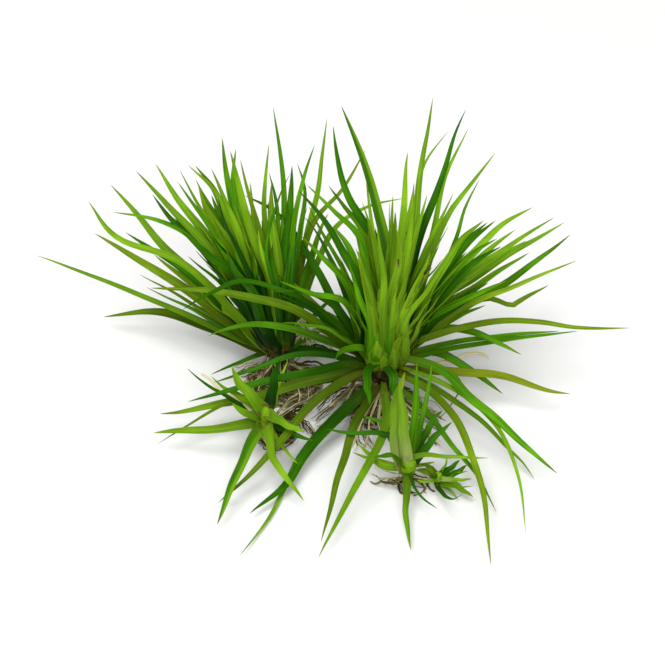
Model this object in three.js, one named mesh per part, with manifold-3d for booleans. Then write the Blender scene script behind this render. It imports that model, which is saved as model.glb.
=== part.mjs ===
// A pulled clump of the aquarium plant Eriocaulon cinereum, resting on a surface: two large rosettes and
// three daughter plants whose roots are grown through each other. Millimetres, +Z up, the surface at z = 0.
import * as THREE from "three";
import { mergeVertices } from "three/addons/utils/BufferGeometryUtils.js";
import Module from "manifold-3d";

const wasm = await Module();
wasm.setup();

// Driving sizes
const GAP = 0.3;
const BLADE_THICKNESS = 0.3; // of its width
const LEAST_THICKNESS = 0.35;
const BLADE_BASE = 0.5; // width at the crown, of the full width
const WIDEST_AT = 0.22; // share of the leaf's length
const LEAF_STEPS = 8;
const LEAF_SIDES = 4;
const SMALL_LEAF_STEPS = 6;
const SMALL_LEAF_SIDES = 3;
const STRAND_STEPS = 5;
const STRAND_SIDES = 3;
const STRAND = 0.9;
const LEAF_SINK = 0.8; // how deep a grown-on leaf starts inside its crown
const STRAND_SINK = 0.5;
const FIRST_LEAN = 2; // weight of a course's first stretch, against its whole lean, in where it leaves its crown
const CROWN_SIDES = 10;
const CROWN_RINGS = 6;
const MAT_SIDES = 14;
// Outline of a root mat, as shares of its reach and height
const MAT_OUTLINE = [[0, 0], [0.92, 0], [1, 0.16], [0.82, 0.55], [0.5, 0.86], [0, 1]];

// Courses are read in a front view that looks down on the clump, as points across and down a square picture.
// A course point and its height above the surface give its place.
const VIEW_ELEVATION = THREE.MathUtils.degToRad(38);
const VIEW_DISTANCE = 600;
const PICTURE_MIDDLE = 332.5;
const POINT_SIZE = 0.2; // mm for one point of the picture at the middle of the view
const VIEW_CENTRE = new THREE.Vector3(0.632, 27.023, 0);

// The short stems: where each is seen, its height range, its radius
const CROWNS = {
  main: { seen: [384, 361], low: 7, high: 18, radius: 4.4 },
  side: { seen: [287, 342], low: 6, high: 17, radius: 3.8 },
  left_plantlet: { seen: [266, 417], low: 7, high: 12, radius: 2.2 },
  right_plantlet: { seen: [408, 466], low: 3.5, high: 8, radius: 2 },
  mini_plantlet: { seen: [438, 478], low: 2, high: 5, radius: 1.2 },
};

// A leaf: its full width, its heights at the crown, half way and at the tip, and the course that is seen,
// from the crown outwards.
const leaf = (wide, high, ...seen) => ({ wide, high, seen });

const LEAVES = {
  main: {
    back: [
      leaf(1.9, [14, 30, 49.9], [380, 250], [360, 215], [350, 200], [342, 180], [337, 155], [333, 125]),
      leaf(2.1, [15.5, 31.5, 51.4], [392, 270], [385, 235], [375, 200], [360, 150], [341, 105]),
      leaf(1.5, [14.7, 32.6, 54], [413, 240], [419, 180], [423, 155], [428, 130], [433, 97]),
      leaf(2.0, [13.9, 30.8, 50], [416, 250], [433, 205], [445, 168], [455, 135], [466, 109]),
      leaf(1.4, [11.4, 24.3, 37.8], [420, 290], [435, 245], [450, 212], [470, 185], [496, 152]),
      leaf(1.9, [15.5, 23.8, 33.4], [447, 278], [470, 256], [485, 240], [505, 223], [533, 207]),
    ],
    right: [
      leaf(1.7, [15, 21.6, 30], [440, 300], [470, 280], [505, 257], [535, 240], [565, 222]),
      leaf(2.0, [11.7, 17.3, 24], [445, 320], [480, 298], [510, 280], [550, 251], [571, 234]),
      leaf(1.6, [15, 17.7, 11.9], [465, 327], [500, 321], [540, 322], [575, 328], [631, 328]),
      leaf(1.9, [14.2, 16.1, 12.9], [440, 330], [475, 332], [500, 344], [522, 355]),
      leaf(2.0, [11.1, 9.7, 2.8], [430, 352], [455, 360], [475, 373], [503, 394]),
      leaf(1.9, [10.6, 8.2, 4.6], [450, 372], [490, 374], [510, 378], [550, 391], [571, 394]),
    ],
    front: [
      leaf(2.0, [14.6, 12, 2.9], [440, 370], [470, 397], [500, 423], [540, 459], [558, 474]),
      leaf(1.5, [11.4, 7.4, 0.8], [445, 395], [485, 425], [510, 450], [522, 462], [535, 480]),
      leaf(1.2, [12.6, 10, 1.4], [435, 380], [470, 400], [500, 432], [518, 475], [526, 534]),
      leaf(1.7, [11.1, 9.7, 1.3], [428, 390], [450, 412], [470, 450], [483, 495], [491, 566]),
      leaf(1.8, [9.6, 7.5, 1.8], [385, 425], [365, 470], [340, 515], [322, 550], [318, 559]),
      leaf(1.9, [8.7, 7.7, 3.5], [378, 388], [360, 415], [342, 465], [330, 510], [321, 542]),
      leaf(2.4, [8.7, 2.2, 1.6], [335, 420], [303, 458], [285, 485], [249, 514]),
      leaf(1.9, [11.8, 9.6, 1.6], [345, 380], [305, 412], [280, 442], [255, 470], [218, 503]),
    ],
    left: [
      leaf(2.2, [10.9, 8.4, 4], [300, 383], [255, 398], [215, 404], [180, 412], [159, 414]),
      leaf(1.9, [9.3, 6.5, 3.3], [320, 351], [275, 351], [235, 364], [210, 375]),
      leaf(1.7, [12.8, 18.6, 16.6], [300, 331], [260, 324], [220, 331], [208, 336]),
      leaf(2.1, [14.1, 25.1, 29.8], [300, 313], [250, 297], [220, 292], [200, 290], [150, 288]),
      leaf(1.7, [12.5, 24.7, 36.9], [335, 305], [305, 250], [275, 212], [244, 195]),
      leaf(2.3, [15.1, 33.4, 45], [365, 300], [345, 255], [320, 215], [298, 190]),
      leaf(1.8, [12.3, 25.8, 39.2], [367, 240], [343, 205], [328, 185]),
    ],
  },
  side: {
    left: [
      leaf(1.1, [8.9, 11.8, 14.3], [180, 312], [150, 299], [100, 279], [50, 260], [35, 255]),
      leaf(2.4, [7.5, 7.9, 3.4], [220, 331], [180, 317], [145, 312], [103, 317]),
      leaf(1.6, [9.6, 16.7, 23.6], [200, 300], [155, 270], [120, 248], [94, 233]),
      leaf(1.9, [12, 20.7, 32.2], [207, 287], [165, 248], [137, 214], [110, 184]),
      leaf(2.0, [12.8, 24.3, 38.9], [220, 255], [190, 215], [175, 195], [155, 163]),
      leaf(2.0, [14.3, 25.1, 42.3], [235, 245], [217, 195], [195, 165]),
    ],
    back: [
      leaf(2.0, [9.9, 25, 43.4], [268, 290], [240, 230], [228, 185], [222, 137]),
      leaf(1.9, [11, 25, 40.7], [272, 290], [245, 240], [233, 185], [236, 148]),
      leaf(1.3, [12, 28.8, 46.8], [268, 245], [264, 200], [269, 143]),
      leaf(1.3, [10.8, 27.7, 46.2], [283, 245], [284, 185], [273, 106]),
      leaf(2.1, [12.1, 25.4, 42], [285, 260], [290, 215], [292, 165]),
      leaf(1.4, [10.9, 26.7, 43.9], [303, 255], [318, 190], [322, 160], [327, 117]),
      leaf(1.3, [9.6, 20.4, 24.4], [318, 262], [335, 228], [370, 206], [405, 198]),
    ],
  },
  left_plantlet: {
    upper: [
      leaf(1.6, [11.6, 14.5, 20], [250, 395], [236, 378], [232, 367]),
      leaf(1.5, [10.8, 11.7, 13.4], [245, 400], [220, 385], [211, 376]),
    ],
    lower: [
      leaf(1.7, [8.2, 6.4, 3.9], [235, 426], [205, 430], [170, 431], [153, 433]),
      leaf(1.8, [8.6, 6.3, 1.7], [252, 442], [235, 478], [217, 525]),
      leaf(1.6, [9, 6.1, 3], [275, 462], [290, 482], [304, 501]),
    ],
  },
  right_plantlet: {
    upper: [
      leaf(2.4, [5.9, 16.4, 26], [396, 440], [394, 415], [398, 395], [405, 372]),
      leaf(1.5, [6.5, 13.9, 24.1], [413, 430], [416, 400], [417, 362]),
      leaf(1.3, [6, 10.8, 17], [422, 420], [428, 390], [432, 364]),
    ],
    lower: [
      leaf(1.1, [7.1, 9.2, 7.9], [390, 436], [350, 433], [325, 429]),
      leaf(1.6, [4.3, 3, 1.3], [406, 510], [407, 525], [411, 550]),
    ],
  },
  mini_plantlet: {},
};

// Leaves that are small or lie close between the others, grown on in one piece with their crown
const SMALL_LEAVES = {
  main: [
    leaf(1.1, [15.3, 27.4, 44.2], [384, 300], [371, 220], [368, 195], [366, 178]),
    leaf(1.0, [16, 26.9, 42.4], [380, 290], [372, 235], [362, 201]),
    leaf(1.8, [15.7, 32.8, 52.5], [403, 220], [406, 165], [408, 151]),
    leaf(2.0, [16.4, 30.4, 46.1], [392, 310], [400, 250], [396, 227]),
    leaf(1.6, [15.4, 32.7, 47.3], [384, 320], [383, 270], [377, 227]),
    leaf(1.7, [16.4, 29, 47.9], [400, 300], [412, 220], [414, 182]),
    leaf(1.0, [10.7, 28.1, 43.7], [404, 300], [414, 215], [424, 165], [449, 130]),
    leaf(1.3, [15.3, 25.3, 41], [410, 315], [428, 255], [446, 175], [469, 127]),
    leaf(1.0, [16.1, 29.1, 45.7], [456, 240], [465, 208], [480, 178]),
    leaf(2.0, [16.9, 27.8, 41.8], [430, 290], [460, 242], [484, 220]),
    leaf(1.8, [15.8, 25.4, 37.2], [440, 280], [470, 242], [496, 220]),
    leaf(1.4, [15.6, 24.5, 31.2], [460, 280], [510, 245], [555, 217]),
    leaf(1.6, [15.3, 21, 26.9], [470, 305], [520, 284], [578, 260]),
    leaf(1.7, [16.6, 21.7, 31], [410, 332], [450, 307], [508, 280]),
    leaf(1.2, [11, 15.1, 6.9], [485, 299], [510, 305], [549, 285]),
    leaf(1.2, [11.6, 11.7, 10.1], [460, 347], [520, 338], [579, 331]),
    leaf(1.2, [12.7, 13.6, 12.9], [440, 345], [500, 336], [560, 331]),
    leaf(1.2, [8.8, 6.6, 1.2], [425, 410], [452, 445], [475, 472], [497, 513]),
    leaf(0.9, [9.3, 5, 1.3], [330, 430], [295, 470], [272, 517], [238, 558]),
    leaf(1.3, [9.9, 7.6, 2.8], [290, 388], [230, 402], [185, 427], [156, 445]),
    leaf(1.8, [11.6, 14.2, 10.7], [345, 365], [300, 375], [250, 385], [187, 402]),
    leaf(1.5, [11.8, 11.8, 6.5], [300, 354], [250, 371], [212, 383]),
    leaf(1.2, [13.8, 26.5, 33.7], [310, 304], [270, 287], [240, 281], [210, 293], [182, 310]),
    leaf(1.4, [17.2, 24.5, 30.7], [345, 303], [310, 293], [279, 281]),
    leaf(1.4, [15.8, 18.5, 22.7], [362, 349], [343, 350], [335, 359]),
    leaf(1.6, [15.7, 29.7, 42.3], [360, 240], [335, 212], [306, 184]),
    leaf(1.0, [16.3, 26.4, 38.4], [345, 275], [318, 225], [308, 205]),
    leaf(2.0, [17.6, 26.3, 36.4], [350, 290], [320, 255], [300, 235]),
    leaf(1.8, [16, 27, 39.2], [380, 330], [375, 310], [360, 262]),
    leaf(1.4, [14.8, 14.5, 13.5], [378, 362], [368, 372], [370, 405]),
    leaf(1.5, [15.3, 12, 8.6], [388, 364], [393, 378], [393, 397]),
    leaf(0.8, [13.9, 12.4, 0.8], [460, 381], [447, 410], [437, 420]),
    leaf(1.6, [9.5, 9.2, 7.3], [376, 340], [352, 290], [338, 262]),
    leaf(1.8, [10.2, 10.6, 9.4], [384, 335], [372, 285], [362, 250]),
    leaf(1.8, [9.1, 8, 5.4], [390, 336], [398, 290], [402, 262]),
    leaf(1.7, [9.7, 10.4, 10.3], [396, 338], [418, 290], [430, 256]),
    leaf(1.6, [8.8, 7.4, 5.8], [402, 342], [440, 305], [462, 280]),
    leaf(1.5, [10.4, 9.1, 5.8], [406, 348], [455, 318], [486, 305]),
    leaf(1.5, [9.1, 8.3, 5.1], [365, 348], [335, 318], [312, 306]),
  ],
  side: [
    leaf(1.5, [10.7, 29.6, 31.1], [180, 262], [120, 240], [88, 201]),
    leaf(1.7, [12.5, 21.4, 30], [180, 268], [150, 248], [125, 232]),
    leaf(1.4, [13.1, 27.8, 30.4], [200, 245], [160, 221], [112, 212]),
    leaf(1.6, [12.9, 23.8, 35.3], [200, 245], [170, 218], [152, 194]),
    leaf(1.8, [13.7, 28.7, 41.1], [210, 250], [165, 202], [135, 170]),
    leaf(1.5, [16, 29, 42.5], [215, 235], [190, 200], [177, 181]),
    leaf(1.4, [15, 27.3, 45.2], [260, 295], [210, 225], [179, 169]),
    leaf(1.4, [15.4, 29.4, 43.7], [235, 235], [215, 192], [187, 164]),
    leaf(2.2, [14.8, 25.6, 40.2], [220, 243], [210, 220], [198, 184]),
    leaf(1.8, [16.3, 30.2, 46.8], [240, 240], [220, 188], [211, 168]),
    leaf(1.3, [15.7, 30.2, 47.1], [250, 275], [225, 225], [218, 197]),
    leaf(2.0, [16.5, 29.7, 48.8], [272, 290], [250, 230], [230, 150]),
    leaf(1.2, [14.1, 28.9, 47.2], [264, 245], [250, 200], [240, 158]),
    leaf(1.2, [15.2, 27.5, 47.4], [280, 290], [277, 210], [269, 172]),
    leaf(1.2, [14.7, 33.7, 49], [278, 300], [266, 250], [280, 195], [291, 172]),
    leaf(1.3, [16.1, 28.3, 43.8], [300, 230], [305, 190], [297, 162]),
    leaf(1.5, [14, 32.8, 47.3], [290, 305], [292, 245], [303, 180], [315, 144]),
    leaf(1.1, [14.1, 29.6, 43], [291, 310], [296, 245], [308, 205]),
    leaf(1.2, [15.7, 27.7, 39.2], [313, 225], [342, 190], [366, 149]),
    leaf(2.0, [15.4, 26.9, 39.9], [232, 270], [200, 262], [180, 244]),
    leaf(2.0, [14.3, 25.2, 37.1], [250, 290], [236, 272], [226, 250]),
    leaf(1.5, [7.8, 7.6, 6.2], [278, 326], [262, 285], [252, 268]),
    leaf(1.6, [8.1, 8.8, 8.4], [286, 326], [284, 280], [280, 255]),
    leaf(1.5, [7.5, 6.8, 5.2], [294, 326], [306, 290], [312, 270]),
    leaf(1.5, [7.2, 5.8, 3.7], [299, 333], [325, 305], [340, 296]),
    leaf(1.4, [8.2, 6.7, 3.2], [302, 340], [330, 325], [352, 322]),
  ],
  left_plantlet: [
    leaf(1.1, [8.8, 10, 11.7], [220, 393], [200, 380], [187, 368]),
    leaf(1.2, [9, 10.1, 12.4], [250, 415], [240, 410], [232, 403]),
    leaf(0.9, [7.9, 6.2, 4.2], [283, 447], [290, 456], [298, 464]),
    leaf(1.2, [10.6, 10.4, 10.4], [275, 418], [285, 424], [305, 432]),
    leaf(1.2, [9, 7.9, 6.8], [285, 430], [295, 435], [314, 441]),
    leaf(1.5, [8.7, 13.7, 18.9], [272, 395], [275, 375], [280, 360]),
    leaf(0.9, [8, 11.2, 14.2], [274, 406], [278, 385], [288, 361]),
  ],
  right_plantlet: [
    leaf(1.7, [7.1, 17.1, 26.9], [404, 430], [402, 405], [400, 380]),
    leaf(1.0, [4.3, 7.8, 7.4], [396, 450], [378, 421], [350, 416]),
    leaf(1.2, [4.3, 5.9, 9], [385, 467], [370, 455], [357, 443]),
    leaf(0.9, [5.1, 4.6, 4.2], [380, 461], [365, 457], [352, 452]),
    leaf(1.2, [4.3, 13, 17.3], [396, 466], [395, 457], [372, 458]),
    leaf(0.9, [7.6, 8.1, 8], [425, 455], [450, 457], [489, 458]),
    leaf(0.8, [5, 4.2, 3.9], [416, 490], [425, 500], [438, 509]),
    leaf(1.4, [4.6, 8, 11.2], [425, 435], [433, 420], [443, 410]),
    leaf(1.2, [5.1, 8.2, 11], [428, 445], [440, 432], [452, 422]),
    leaf(0.9, [4.5, 2.6, 1.5], [412, 467], [420, 465], [435, 462]),
  ],
  mini_plantlet: [
    leaf(1.2, [3, 2.5, 1.4], [441, 481], [457, 487], [473, 497]),
    leaf(0.9, [3.5, 4.9, 6.9], [442, 479], [455, 480], [472, 479]),
    leaf(0.9, [2.8, 4.1, 8.4], [437, 483], [450, 499], [462, 495]),
    leaf(1.2, [3.8, 4.1, 5.1], [440, 476], [447, 471], [460, 460]),
    leaf(1.1, [3.6, 3.7, 4.4], [442, 477], [452, 475], [467, 465]),
    leaf(1.0, [3.2, 6.1, 8.4], [435, 477], [430, 470], [424, 468]),
  ],
};

// Roots that trail from a crown: their heights at the crown, half way and at the end, and their course
const root = (high, ...seen) => ({ high, seen });

const STRANDS = {
  main: [
    root([6, 4, 0.6], [350, 392], [340, 400], [315, 425]),
    root([6, 3, 0.6], [376, 400], [378, 415]),
    root([6, 3, 0.6], [362, 410], [356, 430], [366, 448]),
    root([6, 3, 0.6], [430, 405], [444, 418]),
    root([6, 3, 0.6], [418, 420], [438, 442]),
    root([6, 3, 0.6], [340, 394], [328, 408]),
  ],
  side: [
    root([5, 3, 0.6], [318, 342], [336, 352]),
    root([5, 3, 0.6], [315, 368], [330, 374]),
    root([5, 3, 0.6], [262, 366], [240, 374]),
    root([5, 3, 0.6], [278, 376], [262, 384]),
    root([5, 4, 0.6], [310, 334], [326, 334]),
  ],
  left_plantlet: [
    root([6, 4, 0.6], [290, 408], [312, 402]),
    root([6, 3, 0.6], [300, 420], [313, 437]),
    root([6, 3, 0.6], [288, 414], [298, 410]),
  ],
  right_plantlet: [
    root([3, 2, 0.6], [390, 478], [376, 474]),
    root([3, 2, 0.6], [424, 480], [434, 492]),
  ],
};

// Root mats, pressed flat where they lie: where each is seen, its reach across and in depth, its height
const MATS = {
  main: { seen: [382, 408], across: 8, deep: 7.5, high: 6.2 },
  side: { seen: [283, 386], across: 8, deep: 7, high: 5.2 },
  left_plantlet: { seen: [278, 440], across: 4, deep: 4, high: 5 },
  right_plantlet: { seen: [407, 486], across: 4, deep: 3.5, high: 2.8 },
};

const MATERIALS = {
  leaf: new THREE.MeshStandardMaterial({ color: "#3f7d10", roughness: 0.45, metalness: 0 }),
  crown: new THREE.MeshStandardMaterial({ color: "#7f9430", roughness: 0.5, metalness: 0 }),
  roots: new THREE.MeshStandardMaterial({ color: "#a8966a", roughness: 0.8, metalness: 0 }),
};

// The point at a height above the surface that the front view shows at a picture point.
function fromPicture([across, down], height) {
  const forward = new THREE.Vector3(0, Math.cos(VIEW_ELEVATION), -Math.sin(VIEW_ELEVATION));
  const up = new THREE.Vector3(0, Math.sin(VIEW_ELEVATION), Math.cos(VIEW_ELEVATION));
  const eye = VIEW_CENTRE.clone().addScaledVector(forward, -VIEW_DISTANCE);
  const ray = forward.multiplyScalar(VIEW_DISTANCE).addScaledVector(up, (PICTURE_MIDDLE - down) * POINT_SIZE);
  ray.x += (across - PICTURE_MIDDLE) * POINT_SIZE;
  return eye.addScaledVector(ray, (height - eye.z) / ray.z);
}

// The curve through three heights, at a share of the way from the first to the last.
function heightAlong([first, middle, last], share) {
  const bend = 4 * middle - first * 3 - last;
  return first + bend * share + (last - first - bend) * share * share;
}

// The stem of a crown: its middle and its height range.
function crownMiddle({ seen, low, high }) {
  return fromPicture(seen, (low + high) / 2);
}

// A course in space, from the crown's skin outwards. A negative clearance starts it inside the crown.
function courseFrom(crown, { high, seen }, clearance) {
  const stops = [crown.seen, ...seen];
  const lengths = [0];
  stops.slice(1).forEach(([x, y], i) => {
    lengths.push(lengths[i] + Math.hypot(x - stops[i][0], y - stops[i][1]));
  });
  const total = lengths[lengths.length - 1];
  const places = seen.map((stop, i) => fromPicture(stop, heightAlong(high, lengths[i + 1] / total)));
  const middle = crownMiddle(crown);
  const leans = places.map((place) => new THREE.Vector2(place.x - middle.x, place.y - middle.y));
  const overall = leans.reduce((sum, lean) => sum.add(lean), new THREE.Vector2()).normalize();
  const heading = leans[0].normalize().multiplyScalar(FIRST_LEAN).add(overall).normalize();
  const rise = (2 * (high[0] - middle.z)) / (crown.high - crown.low);
  const reach = crown.radius * Math.sqrt(Math.max(0.05, 1 - rise * rise)) + clearance;
  const start = new THREE.Vector3(middle.x + heading.x * reach, middle.y + heading.y * reach, high[0]);
  const curve = new THREE.CatmullRomCurve3([start, ...places], false, "centripetal");
  return { curve, across: new THREE.Vector3(-heading.y, heading.x, 0) };
}

// A closed cone bent along a course, where half its width and half its thickness follow a profile.
function bentCone({ curve, across }, wide, thick, profile, sides, steps) {
  const cone = new THREE.ConeGeometry(1, 1, sides, steps);
  cone.deleteAttribute("normal");
  cone.deleteAttribute("uv");
  const place = cone.getAttribute("position");
  for (let i = 0; i < place.count; i++) {
    const share = THREE.MathUtils.clamp(place.getY(i) + 0.5, 0, 1);
    const spoke = Math.hypot(place.getX(i), place.getZ(i));
    const swell = spoke > 1e-6 ? profile(share) / spoke : 0;
    const heading = curve.getTangentAt(share);
    const side = across.clone().addScaledVector(heading, -across.dot(heading)).normalize();
    const face = new THREE.Vector3().crossVectors(side, heading);
    const spot = curve.getPointAt(share);
    spot.addScaledVector(side, (place.getX(i) * swell * wide) / 2);
    spot.addScaledVector(face, (place.getZ(i) * swell * thick) / 2);
    place.setXYZ(i, spot.x, spot.y, spot.z);
  }
  return mergeVertices(cone, 1e-4);
}

// A blade widens quickly from its neck and then tapers all the way to the tip.
function bladeProfile(share) {
  if (share < WIDEST_AT) return BLADE_BASE + (1 - BLADE_BASE) * Math.sin(((share / WIDEST_AT) * Math.PI) / 2);
  return Math.pow(1 - (share - WIDEST_AT) / (1 - WIDEST_AT), 0.7);
}

// A root is nearly even and ends in a point.
function strandProfile(share) {
  return Math.pow(1 - share, 0.4);
}

function leafGeometry(plant, row, clearance, sides, steps) {
  const thick = Math.max(LEAST_THICKNESS, row.wide * BLADE_THICKNESS);
  return bentCone(courseFrom(CROWNS[plant], row, clearance), row.wide, thick, bladeProfile, sides, steps);
}

function strandGeometry(plant, row) {
  const course = courseFrom(CROWNS[plant], row, -STRAND_SINK);
  return bentCone(course, STRAND, STRAND, strandProfile, STRAND_SIDES, STRAND_STEPS);
}

function crownGeometry(crown) {
  const stem = new THREE.SphereGeometry(1, CROWN_SIDES, CROWN_RINGS);
  stem.rotateX(Math.PI / 2);
  stem.scale(crown.radius, crown.radius, (crown.high - crown.low) / 2);
  stem.translate(...crownMiddle(crown).toArray());
  return stem;
}

// A low mound with a flat underside.
function matGeometry({ seen, across, deep, high }) {
  const mound = new THREE.LatheGeometry(MAT_OUTLINE.map(([x, y]) => new THREE.Vector2(x, y)), MAT_SIDES);
  mound.rotateX(Math.PI / 2);
  mound.scale(across, deep, high);
  const middle = fromPicture(seen, 0);
  mound.translate(middle.x, middle.y, 0);
  return mound;
}

function solidOf(geometry) {
  const bare = geometry.clone();
  bare.deleteAttribute("normal");
  bare.deleteAttribute("uv");
  const merged = mergeVertices(bare, 1e-4);
  const vertProperties = merged.getAttribute("position").array;
  return new wasm.Manifold(new wasm.Mesh({ numProp: 3, vertProperties, triVerts: merged.index.array }));
}

function geometryOf(solid) {
  const { vertProperties, triVerts } = solid.getMesh();
  const geometry = new THREE.BufferGeometry();
  geometry.setAttribute("position", new THREE.BufferAttribute(vertProperties, 3));
  geometry.setIndex(new THREE.BufferAttribute(triVerts, 1));
  geometry.computeVertexNormals();
  return geometry;
}

function joined(geometries) {
  return geometryOf(geometries.map(solidOf).reduce((whole, part) => whole.add(part)));
}

function addPiece(group, name, geometry, material) {
  const mesh = new THREE.Mesh(geometry, material);
  mesh.name = name;
  group.add(mesh);
}

const clump = new THREE.Group();
for (const [plant, crown] of Object.entries(CROWNS)) {
  const grownOn = SMALL_LEAVES[plant].map((row) =>
    leafGeometry(plant, row, -LEAF_SINK, SMALL_LEAF_SIDES, SMALL_LEAF_STEPS),
  );
  addPiece(clump, `${plant}_crown`, joined([crownGeometry(crown), ...grownOn]), MATERIALS.crown);
  for (const [side, rows] of Object.entries(LEAVES[plant]))
    rows.forEach((row, i) => {
      const blade = leafGeometry(plant, row, GAP, LEAF_SIDES, LEAF_STEPS);
      addPiece(clump, `${plant}_${side}_leaf_${i + 1}`, blade, MATERIALS.leaf);
    });
}
for (const [plant, mat] of Object.entries(MATS)) {
  const trailing = STRANDS[plant].map((row) => strandGeometry(plant, row));
  addPiece(clump, `${plant}_roots`, joined([matGeometry(mat), ...trailing]), MATERIALS.roots);
}

export default clump;
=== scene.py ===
"""A pulled clump of the aquarium plant Eriocaulon cinereum, dressed for rendering round its CAD frame.

Two large rosettes and three daughter plants lie on a pale studio floor, their roots grown through each other.
Each leaf course is read in the front view as points across and down a square picture, with three heights, as in the
part's source, so that every fine leaf runs along the middle of its CAD solid."""
import math

import bpy
import numpy as np
from bpy.props import FloatProperty, FloatVectorProperty, IntProperty, PointerProperty
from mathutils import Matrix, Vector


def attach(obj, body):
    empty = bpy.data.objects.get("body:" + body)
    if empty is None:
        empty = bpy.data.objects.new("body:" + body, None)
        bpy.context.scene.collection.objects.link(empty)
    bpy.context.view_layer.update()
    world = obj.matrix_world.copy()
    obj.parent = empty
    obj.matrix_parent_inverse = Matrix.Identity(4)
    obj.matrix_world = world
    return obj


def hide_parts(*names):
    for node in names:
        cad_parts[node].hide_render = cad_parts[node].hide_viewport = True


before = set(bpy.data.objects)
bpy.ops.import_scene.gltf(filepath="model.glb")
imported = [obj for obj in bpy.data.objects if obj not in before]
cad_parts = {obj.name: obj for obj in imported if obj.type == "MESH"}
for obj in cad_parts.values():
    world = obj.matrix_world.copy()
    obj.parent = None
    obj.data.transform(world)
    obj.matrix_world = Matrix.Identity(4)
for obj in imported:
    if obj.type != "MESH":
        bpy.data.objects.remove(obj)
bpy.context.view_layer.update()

bl_info = {
    "name": "Eriocaulon cinereum clump",
    "version": (1, 0, 0),
    "blender": (4, 5, 0),
    "location": "3D Viewport > Sidebar > Clump",
    "description": "Grows the leaves, crowns and roots of a pulled pipewort clump and sets its studio",
    "category": "Object",
}

MM = 0.001

# The front view that the courses are read in: it looks down at 38 degrees from 600 mm, and one point of the
# picture is 0.2 mm at the middle of the view.
ELEVATION = math.radians(38)
DISTANCE = 600.0
POINT = 0.2
MIDDLE = 332.5
CENTRE = np.array([0.632, 27.023, 0.0])
FORWARD = np.array([0.0, math.cos(ELEVATION), -math.sin(ELEVATION)])
UPWARD = np.array([0.0, math.sin(ELEVATION), math.cos(ELEVATION)])
ACROSS = np.array([1.0, 0.0, 0.0])

# The short stems: where each is seen, its height range and its radius, in mm
CROWNS = {
    "main": ((384, 361), 7, 18, 4.4),
    "side": ((287, 342), 6, 17, 3.8),
    "left_plantlet": ((266, 417), 7, 12, 2.2),
    "right_plantlet": ((408, 466), 3.5, 8, 2),
    "mini_plantlet": ((438, 478), 2, 5, 1.2),
}

# How leaves stand on each stem: the stem's own breadth under them and how far it lies to the side in mm, how far out
# a rising leaf's foot lies and on which level, how much lower that is at the back, and how far up its skin the leaf
# then runs
FEET = {
    "main": (0.72, 0.0, 0.8, 0.4, 0.14, 0.16),
    "side": (0.55, -1.5, 0.6, 0.26, 0.14, 0.0),
    "left_plantlet": (0.5, 0.0, 0.25, 0.75, 0.0, 0.0),
    "right_plantlet": (0.8, 0.0, 0.3, 0.45, 0.1, 0.0),
    "mini_plantlet": (0.7, 0.0, 0.1, 0.6, 0.0, 0.0),
}

# Root mats: where each is seen, its reach across and in depth, its height, how full it is and how old its roots
# are, from 0 for cream to 1 for brown
MATS = {
    "main": ((382, 408), 8, 7.5, 6.2, 0.5, 0.55),
    "side": ((283, 386), 8, 7, 5.2, 0.9, 0.5),
    "left_plantlet": ((278, 440), 4, 4, 5, 0.9, 0.9),
    "right_plantlet": ((407, 486), 4, 3.5, 2.8, 0.1, 0.75),
}

# Old leaf bases round the stem of each rosette: how many, their width of the stem's radius, and their tones from the
# lowest to the highest
BASES = {
    "main": (52, 0.56, ("olive", "fresh", "fresh", "fresh", "fresh")),
    # the side's lowest bases are deep and dark partly as painted shade at the foot of the rosette
    "side": (46, 0.78, ("deep", "deep", "dark", "green", "fresh")),
}

# Leaves that fill the rosettes between those of the tables: how many in each
INNER = {"main": 44, "side": 46}

# Leaf tones: name, colour, what they are, and how each differs: share of light let through, brightness of its streaks
# and of its lines of painted sheen, how brown it is, how pale its base is, and how much painted shade darkens its
# lower half
TONES = {
    "lime": ("Young leaf", "#77a21b", "Youngest inner leaves, thin and lit through", (0.34, 1.35, 0, 0.5, 0.4)),
    "fresh": ("Fresh leaf", "#6b9817", "Leaves just grown out", (0.28, 1.4, 0, 0.5, 0.6)),
    "green": ("Grown leaf", "#4a820a", "Full-grown leaves", (0.22, 1.6, 0, 0.45, 0.7)),
    # Dark and deep are partly painted shade: they also go to leaves that lie in shade among the others
    "dark": ("Shaded leaf", "#2e6406", "Older leaves, thick and full of chlorophyll", (0.14, 1.5, 0, 0.1, 0.9)),
    "deep": ("Deep leaf", "#153f03", "The darkest leaves, inside the rosette", (0.08, 1.6, 0, 0, 0.95)),
    "olive": ("Olive leaf", "#6c8c14", "Leaves that begin to lose their green", (0.2, 1.45, 0.15, 0.35, 0.75)),
    "moss": ("Mossy leaf", "#54740e", "Old leaves low in the rosette, dull and dark", (0.12, 1.5, 0.15, 0, 0.8)),
    "yellow": ("Yellowing leaf", "#7e9018", "Old leaves turning yellow", (0.24, 1.35, 0.2, 0.05, 0.7)),
    "pale": ("Pale leaf", "#76a020", "Leaves grown under the surface of the gravel", (0.3, 1.3, 0, 0.85, 0)),
    # Half-shaded leaf: one half painted light and the other painted shade, as if bent along its channel to the lamp
    "twotone": ("Half-shaded leaf", "#3a6c0a", "Leaves with a dark half and a bright one, parted by their channel",
                (0.24, 1.6, 0, 0.15, 0.3)),
}

# The tone of an inner leaf beside one of each tone, where it lies deep in the rosette: one tone darker, as painted
# shade
DARKER_IN_SHADE = {"lime": "fresh", "fresh": "green", "green": "dark", "dark": "deep", "pale": "fresh"}

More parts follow.
